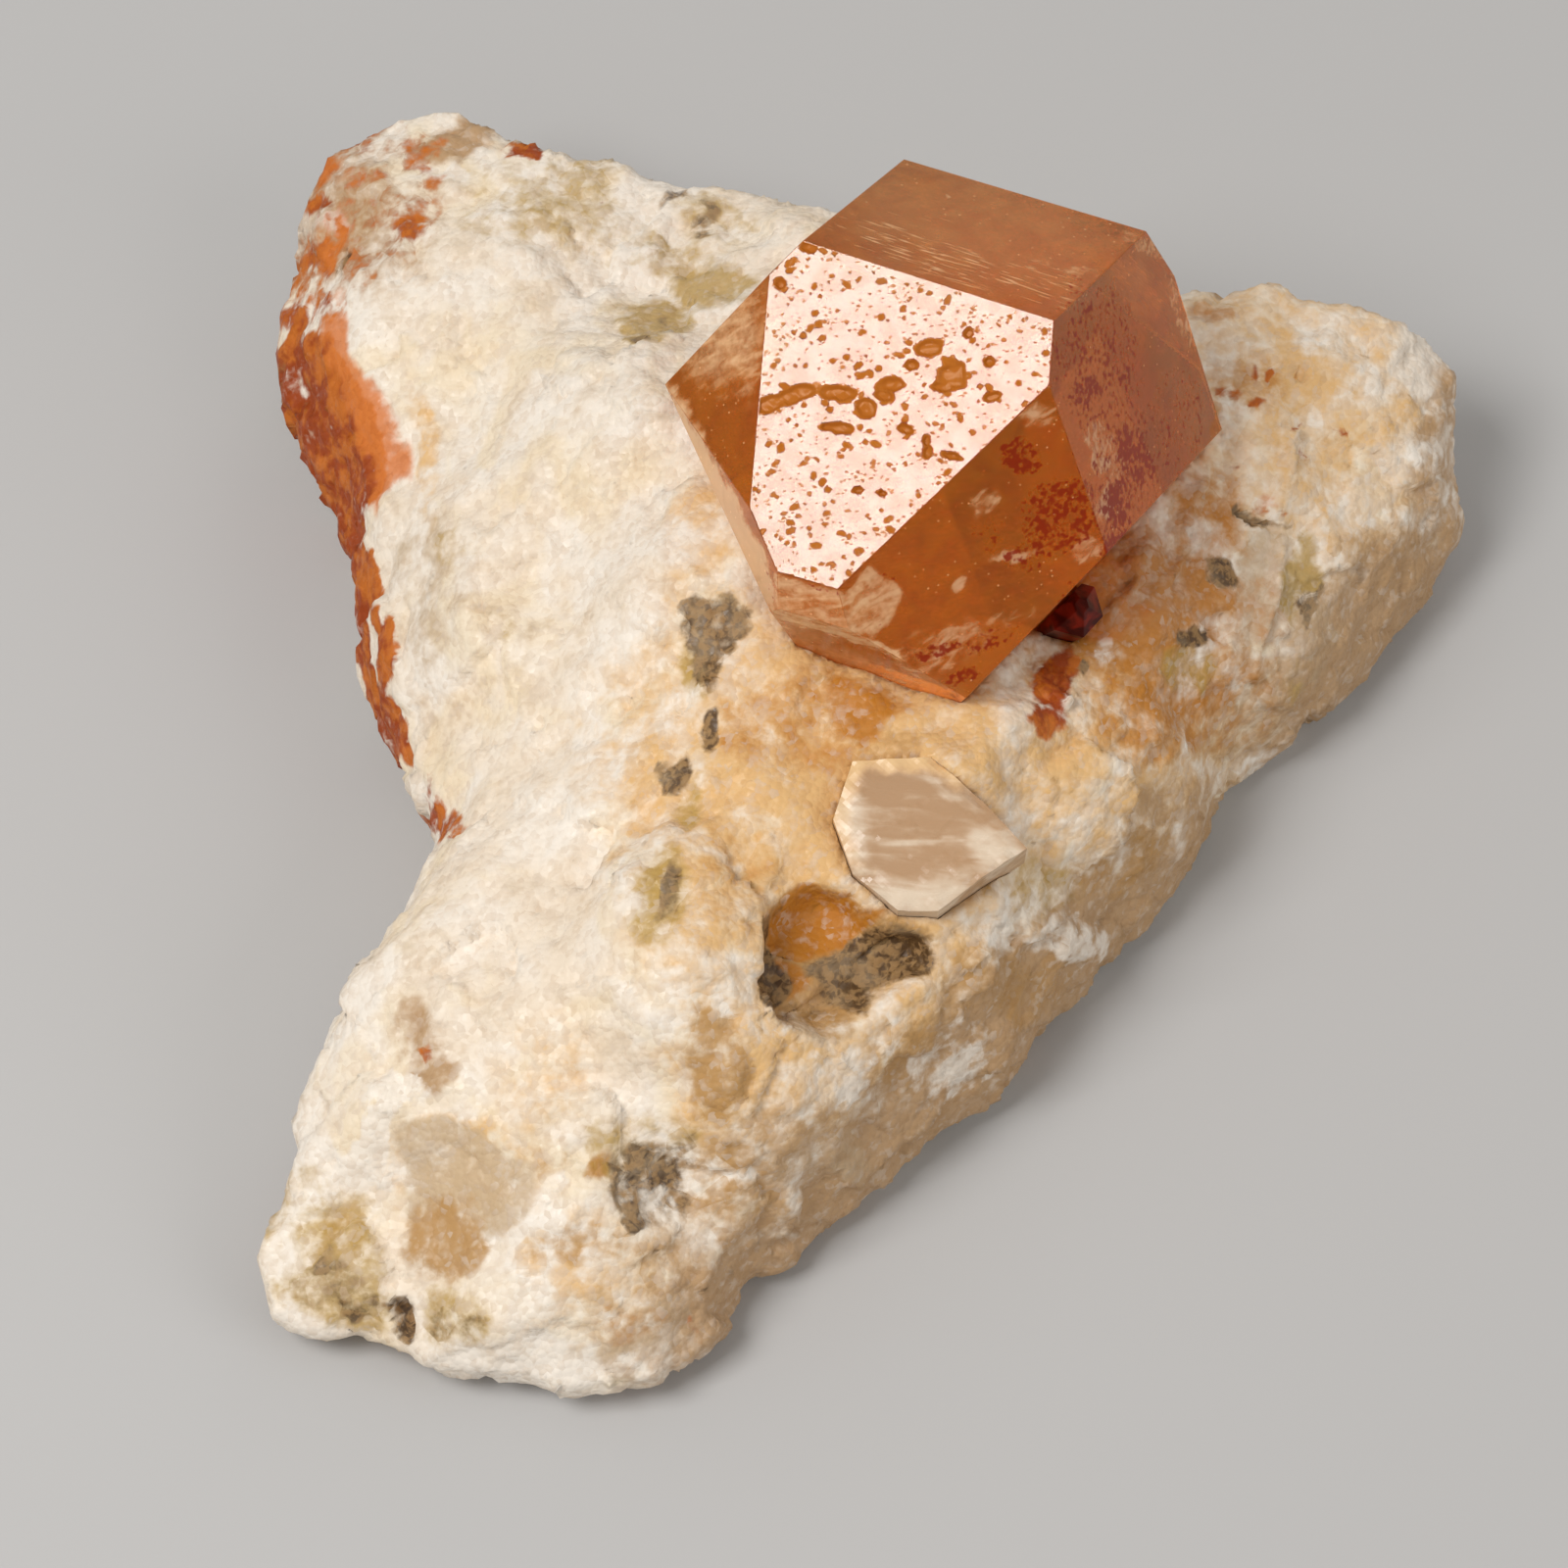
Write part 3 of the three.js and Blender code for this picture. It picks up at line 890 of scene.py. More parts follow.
# Stains on the rock in the picture, by pigment; the tan and pink on the faces turned from the lamp are
# partly painted shade, and one orange oval is a painted pool of light
STAINS_AND_PAINTED_LIGHT: dict[Pigment, list[Mark]] = {
    # Tan: partly painted shade where it lies down the right and lower right, on the faces turned from the
    # lamp
    Pigment.TAN: ovals(
        (850, 810, 200, 200, 0, 0.95), (1130, 770, 200, 150, 0, 0.6), (790, 1090, 100, 170, 10, 0.7),
        (930, 1050, 150, 120, -30, 0.6), (1330, 420, 150, 150, 0, 0.6), (745, 800, 90, 200, 0, 0.6),
        (480, 1200, 80, 58, 0, 0.7), (610, 1310, 100, 60, -10, 0.55), (560, 1090, 60, 60, 0, 0.3),
        (720, 540, 40, 70, 20, 0.4), (1400, 520, 90, 80, -30, 0.55), (430, 470, 14, 90, -8, 0.35),
    ),
    Pigment.BROWN: ovals(
        (731, 1082, 34, 60, 0, 0.9), (905, 1075, 50, 40, -40, 0.55), (455, 1262, 40, 46, 20, 1.0),
        (897, 774, 40, 24, 0, 0.55), (610, 1275, 60, 18, -5, 0.55), (1000, 1000, 60, 40, -35, 0.4),
        (730, 1205, 60, 40, -10, 0.5), (1150, 880, 60, 30, -35, 0.55), (1060, 1010, 50, 30, -40, 0.6),
        (560, 1175, 18, 26, 0, 0.4),
    ) + [
        # The whole hollow is coloured brown
        Patch(HOLLOW, 1.1, 8),
    ],
    # Pink: the long ovals down the right and lower right are painted shade on the faces turned from the
    # lamp
    Pigment.PINK: ovals(
        (1010, 1085, 380, 70, -45, 1.2), (1395, 650, 190, 66, -50, 1.0), (1470, 470, 36, 140, 5, 0.55),
        (760, 1320, 120, 80, -35, 1.0), (800, 1180, 90, 60, -20, 0.6), (440, 1095, 30, 18, 0, 0.7),
        (415, 1060, 26, 34, 30, 0.45), (470, 140, 40, 22, 0, 0.8), (360, 210, 70, 90, 0, 0.75),
        (450, 640, 60, 130, 0, 0.22), (1190, 850, 60, 50, -40, 0.5),
    ),
    Pigment.WHITE: ovals(
        (968, 1085, 50, 34, -30, 0.6), (853, 1095, 40, 34, 0, 0.55), (1085, 960, 44, 20, 10, 0.7),
        (400, 1112, 40, 16, 10, 0.9), (531, 1335, 20, 34, 0, 0.9), (620, 1286, 18, 14, 0, 0.7),
        (515, 1265, 36, 12, -30, 0.8), (560, 1215, 14, 34, 25, 0.7), (1044, 735, 22, 30, 20, 0.6),
        (336, 230, 20, 16, 0, 0.8), (323, 314, 16, 14, 0, 0.75), (451, 172, 24, 14, 10, 0.8),
        (681, 219, 26, 14, 10, 0.75), (623, 172, 20, 8, 0, 0.7), (545, 262, 30, 26, 0, 0.5),
        (1449, 365, 32, 36, 0, 0.8), (1400, 500, 30, 60, 35, 0.5), (900, 1230, 40, 16, -45, 0.6),
        (790, 1040, 30, 30, 0, 0.35), (1135, 664, 14, 26, 20, 0.5), (289, 1280, 14, 22, 10, 0.7),
    ) + [
        Patch((
            (339, 1212), (353, 1176), (373, 1146), (399, 1109), (426, 1106), (402, 1152), (383, 1205),
            (356, 1222),
        ), 1.3, 5),
    ],
    Pigment.OCHRE: ovals(
        (1150, 610, 130, 90, 10, 0.95), (1200, 710, 95, 60, -20, 0.75), (877, 724, 46, 30, 0, 0.95),
        (810, 740, 90, 50, 0, 0.5), (1235, 520, 40, 50, 0, 0.7), (770, 880, 60, 90, 0, 0.3),
        (820, 990, 12, 32, -8, 0.95), (1265, 390, 40, 40, 0, 0.4), (640, 1345, 40, 20, 0, 0.35),
        (1090, 620, 60, 70, 0, 0.9), (1235, 314, 34, 12, -10, 0.55), (345, 1270, 40, 40, 0, 0.3),
        (608, 1183, 14, 14, 30, 0.8),
    ) + [
        Patch((
            (803, 926), (830, 905), (872, 913), (905, 938), (880, 952), (835, 962), (812, 955),
        ), 1.0, 7),
    ],
    Pigment.OLIVE: ovals(
        (560, 210, 110, 50, 10, 0.5), (662, 322, 40, 24, 0, 0.95), (725, 288, 42, 24, 0, 0.9),
        (680, 255, 50, 30, 10, 0.45), (740, 225, 60, 20, 15, 0.4), (707, 683, 20, 26, 0, 0.8),
        (676, 916, 32, 50, 8, 0.75), (707, 822, 12, 40, 10, 0.6), (360, 1335, 40, 24, 10, 0.8),
        (461, 1345, 34, 30, 0, 0.7), (620, 1170, 50, 30, 0, 0.5), (1222, 682, 26, 26, 0, 0.65),
        (1325, 590, 14, 44, 12, 0.95), (1050, 900, 60, 30, 20, 0.45), (467, 555, 18, 20, 0, 0.4),
        (516, 643, 14, 18, 0, 0.45), (300, 1225, 50, 30, -30, 0.45), (1320, 690, 16, 30, 20, 0.4),
        (670, 1150, 40, 24, 0, 0.45),
    ) + [
        Patch((
            (285, 1230), (330, 1215), (380, 1235), (408, 1290), (405, 1340), (370, 1365), (310, 1350),
            (275, 1310),
        ), 0.62, 14),
    ],
    Pigment.CLEAR: ovals(
        (1282, 600, 24, 70, 12, 0.85), (435, 600, 36, 100, 0, 0.45), (520, 650, 36, 34, 0, 0.35),
        (640, 1350, 80, 34, -12, 0.45), (1330, 660, 30, 50, 20, 0.4), (835, 1044, 40, 14, -8, 0.8),
        (840, 1185, 60, 30, 0, 0.4),
    ) + [
        Patch((
            (406, 1156), (452, 1139), (492, 1159), (552, 1179), (538, 1242), (485, 1262), (446, 1300),
            (416, 1286), (411, 1212),
        ), 0.8, 9),
    ],
    Pigment.DARK: ovals(
        (727, 685, 10, 16, 0, 0.8), (725, 733, 8, 16, 10, 1.2), (716, 758, 10, 12, 20, 1.1),
        (687, 793, 14, 20, 0, 1.05), (688, 915, 12, 34, 10, 0.6), (684, 1205, 12, 20, 0, 0.9),
        (655, 1200, 16, 14, -20, 0.7), (660, 1248, 8, 8, 0, 0.9), (1220, 652, 13, 14, 0, 1.2),
        (1251, 582, 17, 26, -20, 1.15), (1102, 689, 7, 7, 0, 0.9), (1283, 529, 26, 5, 30, 1.1),
        (1334, 620, 4, 24, 10, 0.7), (410, 1347, 9, 22, -15, 1.3), (838, 1034, 34, 14, -8, 0.55),
        (461, 1350, 26, 20, 0, 0.5), (362, 1338, 18, 10, 10, 0.7), (352, 268, 8, 16, 0, 0.7),
        (730, 226, 16, 10, 0, 0.55), (692, 203, 14, 9, 0, 0.5), (665, 335, 18, 10, 0, 0.5),
        (297, 400, 16, 34, -15, 0.45),
    ) + [
        Patch((
            (697, 618), (716, 608), (728, 618), (748, 608), (764, 622), (758, 655), (738, 690),
            (722, 706), (704, 680),
        ), 0.8, 6),
        Patch((
            (618, 1178), (650, 1160), (700, 1150), (712, 1190), (700, 1240), (660, 1256), (630, 1215),
        ), 0.6, 12),
        Patch(((290, 1300), (330, 1275), (385, 1300), (400, 1345), (350, 1350), (300, 1335)), 0.36, 12),
        # The next two patches colour the hollow dark, darkest on its left wall
        Patch((
            (840, 966), (890, 948), (945, 960), (950, 985), (925, 1003), (885, 1035), (848, 1026),
            (832, 985),
        ), 1.15, 8),
        Patch(((783, 934), (806, 926), (813, 960), (818, 1012), (800, 1034), (783, 1000)), 1.4, 6),
    ],
    Pigment.RUST: ovals(
        (331, 207, 14, 12, 0, 0.9), (327, 268, 14, 16, 0, 0.8), (300, 330, 20, 20, 0, 0.8),
        (341, 300, 10, 20, 0, 0.75), (375, 145, 12, 8, 0, 0.7), (330, 160, 14, 20, -25, 0.7),
        (455, 836, 20, 20, 0, 0.85), (440, 815, 10, 30, -20, 0.6), (543, 157, 22, 9, 10, 1.1),
        (421, 240, 17, 15, 0, 0.8), (394, 226, 20, 10, 10, 0.6), (618, 203, 5, 5, 0, 0.7),
        (1269, 371, 8, 6, 0, 0.8), (1286, 376, 8, 6, 10, 0.85), (1255, 396, 10, 6, 0, 0.7),
        (1279, 401, 11, 7, 0, 0.85), (1325, 438, 6, 6, 0, 0.8), (1311, 447, 7, 5, 0, 0.8),
        (1325, 476, 5, 8, 0, 0.8), (1262, 482, 8, 5, 0, 0.7), (1363, 434, 4, 4, 0, 0.7),
        (1349, 418, 4, 4, 0, 0.7), (1076, 701, 22, 42, 8, 1.1), (1297, 520, 16, 8, 10, 0.6),
        (803, 940, 12, 10, 6, 0.75), (419, 1072, 10, 5, -30, 0.6), (706, 1363, 12, 14, 0, 0.55),
    ) + [
        Patch((
            (255, 375), (296, 343), (339, 345), (360, 375), (385, 427), (402, 478), (388, 523),
            (370, 549), (388, 600), (392, 641), (397, 712), (421, 743), (420, 796), (395, 775),
            (350, 661), (320, 549), (270, 432),
        ), 1.15, 6),
        Patch((
            (310, 150), (350, 122), (400, 115), (470, 125), (440, 190), (440, 250), (400, 282),
            (370, 330), (330, 345), (295, 310), (300, 230),
        ), 0.44, 16),
    ],
    Pigment.ORANGE: ovals(
        (340, 165, 26, 24, 0, 0.5), (345, 250, 24, 50, 0, 0.4), (358, 303, 10, 16, 0, 0.7),
        (380, 175, 40, 30, 0, 0.35), (315, 470, 10, 14, 0, 0.5), (405, 770, 10, 16, -20, 0.6),
        # The first oval below, by the large crystal's foot, is a painted pool of light where the crystal's
        # shadow falls
        (1115, 600, 70, 46, 20, 0.55), (1297, 512, 10, 6, 0, 0.6),
    ) + [
        Patch((
            (336, 343), (352, 322), (372, 372), (396, 427), (412, 480), (398, 520), (380, 480),
            (358, 420), (342, 375),
        ), 1.2, 8),
    ],
}


@dataclass(frozen=True)
class Facets:
    """Broken faces of one size in millimetres, each with its own tilt."""

    size: float
    slope: float

    def height(self, spot: Vector) -> float:
        """Height of the broken face at a spot.

        Args:
            spot: The place in millimetres.

        Returns:
            The height in millimetres.
        """
        place = spot / self.size
        middle = noise.voronoi(place)[1][0]
        tilt = noise.noise_vector(middle * 7.3)
        return self.size * self.slope * (tilt.dot(place - middle) + 0.35 * tilt.x)


@dataclass
class MatrixRock(Piece):
    """The broken lump of rock that holds the crystals."""

    node: str = "matrix"
    name: str = "matrix_rock"
    slot: Slot = Slot.MATRIX
    voxel: float = 0.47
    facets: tuple[Facets, ...] = (Facets(6.5, 0.20), Facets(2.6, 0.24), Facets(1.2, 0.22))
    # Hollows and raised edges in the picture, with their heights in millimetres
    dents = [
        (Patch(HOLLOW, 1.0, 10), -3.0),
        (Blot((728, 645), (32, 42), 0), -0.5),
        (Blot((410, 1347), (9, 20), -15), -2.2),
        (Blot((1283, 529), (26, 5), 30), -1.0),
        (Blot((1298, 600), (6, 60), 12), 0.7),
        (Blot((660, 1205), (45, 45), 0), -0.6),
        (Blot((1085, 958), (46, 20), 10), 0.5),
        (Blot((372, 1155), (22, 55), 25), 0.5),
        (Blot((470, 1225), (70, 62), 0), -0.4),
        (Blot((679, 916), (32, 50), 8), -0.3),
        (Blot((335, 450), (40, 100), -14), -0.4),
    ]
    # Stains of the sides that the picture doesn't show: size of a patch in millimetres, and strength
    hidden = {
        Pigment.TAN: (15.0, 0.8),
        Pigment.PINK: (19.0, 0.9),
        Pigment.RUST: (11.0, 0.55),
        Pigment.OLIVE: (9.0, 0.5),
    }
    swell: float = 0.5
    swell_length: float = 9.0
    smoothing: float = 0.6
    fray: Pixel = (20.0, 7.0)
    seat_reach: float = 0.85
    seat_gap: float = 0.04
    foot: float = 1.2

    def remeshed(self) -> bpy.types.Mesh:
        """Even mesh over the solid.

        Returns:
            A new mesh.
        """
        shape = self.solid()
        coarse = bpy.data.meshes.new("coarse_rock")
        shape.to_mesh(coarse)
        shape.free()
        stand = bpy.data.objects.new("coarse_rock", coarse)
        bpy.context.scene.collection.objects.link(stand)
        modifier = stand.modifiers.new("even", "REMESH")
        modifier.mode = "VOXEL"
        modifier.voxel_size = self.voxel * MM
        modifier.use_smooth_shade = True
        depsgraph = bpy.context.evaluated_depsgraph_get()
        mesh = bpy.data.meshes.new_from_object(stand.evaluated_get(depsgraph))
        bpy.data.objects.remove(stand)
        mesh.name = self.name
        return mesh

    def seats(self, points: np.ndarray) -> tuple[np.ndarray, np.ndarray]:
        """Nearest point of a seated crystal or grain to each point of the rock.

        Args:
            points: Rows of x, y, z in metres.

        Returns:
            The distances, and the steps to the nearest points.
        """
        shape = bmesh.new()
        for seated in ("quartz_crystal", "red_crystal", "clear_grain"):
            shape.from_mesh(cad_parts[seated].data)
        tree = BVHTree.FromBMesh(shape)
        shape.free()
        near = np.array([tree.find_nearest(Vector(p))[0] for p in points])
        step = near - points
        return np.linalg.norm(step, axis=1), step

    def relief(self, points: np.ndarray, smooth: np.ndarray) -> np.ndarray:
        """Height of the broken, sugary surface over the plain solid.

        Args:
            points: Rows of x, y, z in metres.
            smooth: How far each point lies in a smooth patch, from 0 to 1.

        Returns:
            Heights in metres.
        """
        heights = np.zeros(len(points))
        for index, point in enumerate(points):
            spot = Vector(point) / MM
            heights[index] = self.swell * noise.fractal(spot / self.swell_length, 0.9, 2.1, 3)
            for facet in self.facets:
                heights[index] += facet.height(spot)
        return heights * (1.0 - self.smoothing * smooth) * MM

    def dented(self, points: np.ndarray, normals: np.ndarray) -> np.ndarray:
        """Height of the named hollows and raised edges.

        Args:
            points: Rows of x, y, z in metres.
            normals: The normals there.

        Returns:
            Heights in metres.
        """
        pixels = VIEW.pixels(points)
        seen = smooth_step(0.0, 0.3, normals @ np.array(VIEW.back()))
        heights = np.zeros(len(points))
        for blot, height in self.dents:
            heights += height * MM * blot.weight(pixels)
        return heights * seen

    def pigment_shares(self, mesh: bpy.types.Mesh) -> dict[Pigment, np.ndarray]:
        """Share of each pigment at each vertex.

        Args:
            mesh: The rock's mesh.

        Returns:
            One array for each pigment.
        """
        points = coordinates(mesh)
        pixels = ragged_pixels(points, *self.fray)
        seen = smooth_step(-0.5, -0.1, coordinates(mesh, "normal") @ np.array(VIEW.back()))
        shares = {pigment: strongest(blots, pixels) * seen for pigment, blots in STAINS_AND_PAINTED_LIGHT.items()}
        for pigment, (size, share) in self.hidden.items():
            waves = np.array([noise.fractal(Vector(p) / (size * MM), 0.8, 2.0, 3) for p in points])
            shares[pigment] += (1.0 - seen) * share * smooth_step(-0.1, 0.5, waves)
        return shares

    def build(self) -> bpy.types.Object:
        """Makes the rock.

        Returns:
            The rock's object.
        """
        mesh = self.remeshed()
        points = coordinates(mesh)
        normals = coordinates(mesh, "normal")
        shares = self.pigment_shares(mesh)
        smooth = np.clip(shares[Pigment.CLEAR] + 0.6 * shares[Pigment.ORANGE], 0.0, 1.0)
        distance, step = self.seats(points)
        free = smooth_step(0.5 * MM, 2.0 * MM, distance)
        above = smooth_step(0.0, self.foot * MM, points[:, 2])
        height = self.relief(points, smooth) + self.dented(points, normals)
        moved = points + normals * (height * free * above)[:, None]
        near = 1.0 - smooth_step(0.5 * self.seat_reach * MM, self.seat_reach * MM, distance)
        pull = near * np.clip(1.0 - self.seat_gap * MM / np.maximum(distance, 1e-6), 0.0, 1.0)
        moved += step * pull[:, None]
        moved[:, 2] = np.where(points[:, 2] < 0.4 * MM, 0.0, np.maximum(moved[:, 2], 0.0))
        mesh.vertices.foreach_set("co", moved.ravel())
        for pigment, share in shares.items():
            store(mesh, pigment.value, share)
        mesh.update()
        return self.place_mesh(mesh, RockFinish().material())


@dataclass
class QuartzCrystal(Piece):
    """The large crystal: flat faces, crisp edges, and a top face with etched pits."""

    node: str = "quartz_crystal"
    name: str = "hematoid_crystal"
    slot: Slot = Slot.QUARTZ
    edge: float = 0.10
    top_azimuth: float = -122.3
    top_polar: float = 27.9
    pit_grid: float = 0.125
    face_grid: float = 0.27
    least_face: float = 3.0
    speck_count: int = 1600
    speck_seed: int = 7
    speck_box: tuple[float, float, float, float] = (760.0, 240.0, 1080.0, 605.0)

    # Depth of a speck in millimetres to a pixel of its width, and depth and unevenness of the large pits
    speck_depth: float = 0.022
    pit_depth: float = 0.30
    pit_uneven: float = 0.10
    fray: Pixel = (6.0, 5.0)

    # Large etched pits in the picture
    pits = ovals(
        (786, 412, 20, 9, -18), (812, 402, 24, 9, -18), (855, 401, 21, 8, 3), (884, 417, 12, 10, 20),
        (909, 392, 16, 7, -5), (902, 404, 10, 6, 10), (857, 437, 13, 6, 8), (843, 435, 6, 4, 0),
        (948, 355, 15, 9, -10), (972, 382, 17, 16, 30), (930, 372, 7, 6, -30), (962, 395, 12, 5, 0),
        (1012, 405, 11, 5, -15), (946, 461, 5, 8, 0), (971, 465, 12, 4, 15), (945, 450, 4, 6, 0),
        (924, 438, 8, 5, 20), (825, 252, 9, 6, 10), (796, 290, 6, 6, 0), (875, 500, 6, 3, 0),
        (900, 503, 6, 3, 10), (1009, 369, 6, 5, 0), (988, 340, 5, 6, 30),
    )
    # Clouds of red iron in the picture
    iron = ovals(
        (1120, 360, 52, 95, -6, 0.55), (1165, 470, 56, 70, -10, 0.52), (1109, 401, 24, 16, 0, 0.95),
        (1158, 466, 22, 40, -14, 0.95), (1142, 512, 18, 34, 8, 0.95), (1136, 555, 16, 20, 30, 0.9),
        (1042, 466, 24, 18, 10, 0.9), (1036, 472, 10, 8, 0, 1.1), (1080, 518, 44, 30, -20, 0.9),
        (1095, 540, 34, 26, -30, 0.75), (1060, 560, 46, 20, -25, 0.55), (1010, 545, 24, 20, 0, 0.4),
        (908, 588, 14, 5, 20, 0.7), (958, 664, 30, 9, -15, 0.85), (977, 695, 22, 9, -10, 0.85),
        (1010, 655, 36, 14, -25, 0.6), (840, 600, 30, 3, 16, 0.5), (1205, 420, 30, 60, -10, 0.4),
        (900, 640, 6, 5, 0, 0.5), (1090, 610, 14, 22, 30, 0.6), (786, 600, 4, 24, -15, 0.5),
    )
    # Pale faces in the picture
    pale = ovals(
        (735, 515, 140, 17, 63, 1.1), (745, 345, 60, 64, 30, 0.5), (1180, 250, 20, 14, 20, 0.4),
    ) + [
        Patch((
            (794, 585), (860, 603), (885, 579), (923, 601), (922, 616), (895, 650), (797, 632),
            (788, 604),
        ), 0.62, 4),
        Patch(((797, 626), (860, 640), (926, 668), (922, 676), (858, 650), (796, 634)), 0.75, 3),
    ]
    # Pale veils in the picture
    veils = ovals(
        (955, 668, 70, 26, -22, 0.5), (1128, 462, 18, 40, -20, 0.7), (1110, 560, 18, 18, 0, 0.7),
        (1036, 565, 28, 7, -12, 0.9), (979, 597, 6, 13, 35, 0.8), (1003, 512, 14, 18, 30, 0.55),
        (1058, 423, 22, 18, 0, 0.5), (1203, 300, 12, 60, -15, 0.5), (1085, 275, 50, 10, 15, 0.35),
        (1128, 515, 9, 22, 0, 0.8), (1010, 640, 60, 10, -18, 0.55), (970, 197, 5, 4, 0, 0.9),
        (1160, 245, 20, 10, 20, 0.5),
    )
    # Duller, browner parts in the picture
    hazes = ovals(
        (1000, 235, 190, 80, 15, 1.0), (1215, 380, 34, 130, -15, 0.45), (735, 350, 36, 50, 30, 0.6),
        (880, 690, 110, 26, 17, 0.6),
    )
    # Fine growth ridges in the picture
    ridges = ovals(
        (965, 265, 130, 22, 18, 1.0), (1060, 290, 50, 24, 18, 0.9), (930, 230, 70, 20, 18, 0.4),
    )

    def cut_faces(self, shape: bmesh.types.BMesh) -> None:
        """Cuts every large face that can be seen, the pitted one most finely.

        Args:
            shape: The crystal's shape.
        """
        top = unit(self.top_azimuth, self.top_polar)
        large = [f for f in shape.faces if f.calc_area() > self.least_face * MM ** 2]
        for face in [f for f in large if f.normal.z > -0.4]:
            cut_grid(shape, face, self.pit_grid if face.normal.dot(top) > 0.99 else self.face_grid)

    def specks(self) -> list[Blot]:
        """Fine etch specks scattered over the top face.

        Returns:
            Ovals in the picture.
        """
        draw = random.Random(self.speck_seed)
        left, top, right, bottom = self.speck_box
        made = []
        for _ in range(self.speck_count):
            middle = (draw.uniform(left, right), draw.uniform(top, bottom))
            size = 0.9 + 2.6 * draw.random() ** 6
            made.append(Blot(middle, (size * draw.uniform(1.0, 2.2), size), draw.gauss(0.0, 45.0)))
        return made

    def sink_pits(self, mesh: bpy.types.Mesh) -> None:
        """Sinks the pits and specks in the top face, and marks them.

        Args:
            mesh: The crystal's mesh.
        """
        normal = np.array(unit(self.top_azimuth, self.top_polar))
        points = coordinates(mesh)
        heights = points @ normal
        inside = heights > heights.max() - 0.02 * MM
        pixels = VIEW.pixels(points[inside])
        depth = np.zeros(len(pixels))
        marks = np.zeros(len(pixels))
        for blot in self.specks():
            reach = blot.reach(pixels)
            sunk = self.speck_depth * min(blot.half) * (1.0 - smooth_step(0.0, 1.2, reach))
            depth = np.maximum(depth, sunk)
            marks = np.maximum(marks, 1.0 - smooth_step(0.5, 1.2, reach))
        rough = np.array([noise.noise(Vector((*p, 0.0)) / 9.0) for p in pixels])
        for blot in self.pits:
            reach = blot.reach(pixels) + 0.35 * rough
            floor = self.pit_depth + self.pit_uneven * rough
            depth = np.maximum(depth, floor * (1.0 - smooth_step(0.55, 1.05, reach)))
            marks = np.maximum(marks, 1.0 - smooth_step(0.85, 1.15, reach))
        moved = points.copy()
        moved[inside] -= normal * (depth * MM)[:, None]
        mesh.vertices.foreach_set("co", moved.ravel())
        pit = np.zeros(len(points))
        pit[inside] = marks
        store(mesh, "pit", pit)
        bright = np.zeros(len(points))
        bright[inside] = 1.0 - smooth_step(0.1, 0.6, marks)
        store(mesh, "bright", bright)

    def build(self) -> bpy.types.Object:
        """Makes the crystal.

        Returns:
            The crystal's object.
        """
        shape = self.bevelled(self.edge)
        self.cut_faces(shape)
        mesh = bpy.data.meshes.new(self.name)
        shape.to_mesh(mesh)
        shape.free()
        self.sink_pits(mesh)
        pixels = ragged_pixels(coordinates(mesh), *self.fray)
        marks = {
            "iron": self.iron,
            "veil": self.veils,
            "pale": self.pale,
            "haze": self.hazes,
            "ridged": self.ridges,
        }
        for mark, blots in marks.items():
            store(mesh, mark, strongest(blots, pixels))
        mesh.update()
        return self.place_mesh(mesh, QuartzFinish().material())


@dataclass
class RedCrystal(Piece):
    """The small dark red crystal."""

    node: str = "red_crystal"
    name: str = "dark_red_crystal"
    slot: Slot = Slot.RED
    edge: float = 0.08

    def build(self) -> bpy.types.Object:
        """Makes the crystal.

        Returns:
            The crystal's object.
        """
        return self.place(self.bevelled(self.edge), DarkRedFinish().material())


@dataclass
class ClearGrain(Piece):
    """The cleaved grain: thin steps on its broken face, and edges that sink into the rock."""

    node: str = "clear_grain"
    name: str = "cleaved_grain"
    slot: Slot = Slot.GRAIN
    grid: float = 0.3
    step: float = 0.1
    sunk: float = 0.4
    rim: float = 1.6
    buried_side: tuple[float, float, float] = (-0.6, 0.8, 0.0)
    fray: Pixel = (8.0, 5.0)

    # Milky parts in the picture
    milk = ovals(
        (935, 920, 60, 30, 0, 0.9), (1015, 868, 30, 26, 0, 0.8), (868, 850, 20, 50, 0, 0.5),
        (945, 860, 50, 4, 2, 0.6), (975, 815, 40, 6, 40, 0.5),
    )

    def build(self) -> bpy.types.Object:
        """Makes the grain.

        Returns:
            The grain's object.
        """
        shape = self.flat_faced()
        top = max(shape.faces, key=lambda face: face.normal.z)
        normal = top.normal.copy()
        border = [(e.verts[0].co.copy(), e.verts[1].co.copy()) for e in top.edges]
        cut_grid(shape, top, self.grid)
        for face in shape.faces:
            face.smooth = False
        for vert in shape.verts:
            away = min(segment_distance(vert.co, *ends) for ends in border)
            if (vert.co - border[0][0]).dot(normal) > -0.01 * MM:
                spot = vert.co / MM
                edge = 1.0 - min(away / (self.rim * MM), 1.0)
                terrace = round(2.5 * noise.noise(Vector((spot.x / 6.0, spot.y / 2.0, 0.3)))) * self.step
                fray = 0.5 + noise.noise(spot / 1.1)
                vert.co -= normal * MM * (self.sunk * edge ** 2 * fray + 0.5 * self.step + 0.5 * terrace)
        mesh = bpy.data.meshes.new(self.name)
        shape.to_mesh(mesh)
        shape.free()
        points = coordinates(mesh)
        store(mesh, "milk", strongest(self.milk, ragged_pixels(points, *self.fray)))
        away = np.array([min(segment_distance(Vector(p), *ends) for ends in border) for p in points])
        across = (points - points.mean(axis=0)) @ np.array(self.buried_side)
        upper = smooth_step(-2.0 * MM, 4.0 * MM, across)
        store(mesh, "edge", (1.0 - np.minimum(away / (self.rim * MM), 1.0)) * upper)
        return self.place_mesh(mesh, ClearFinish().material())


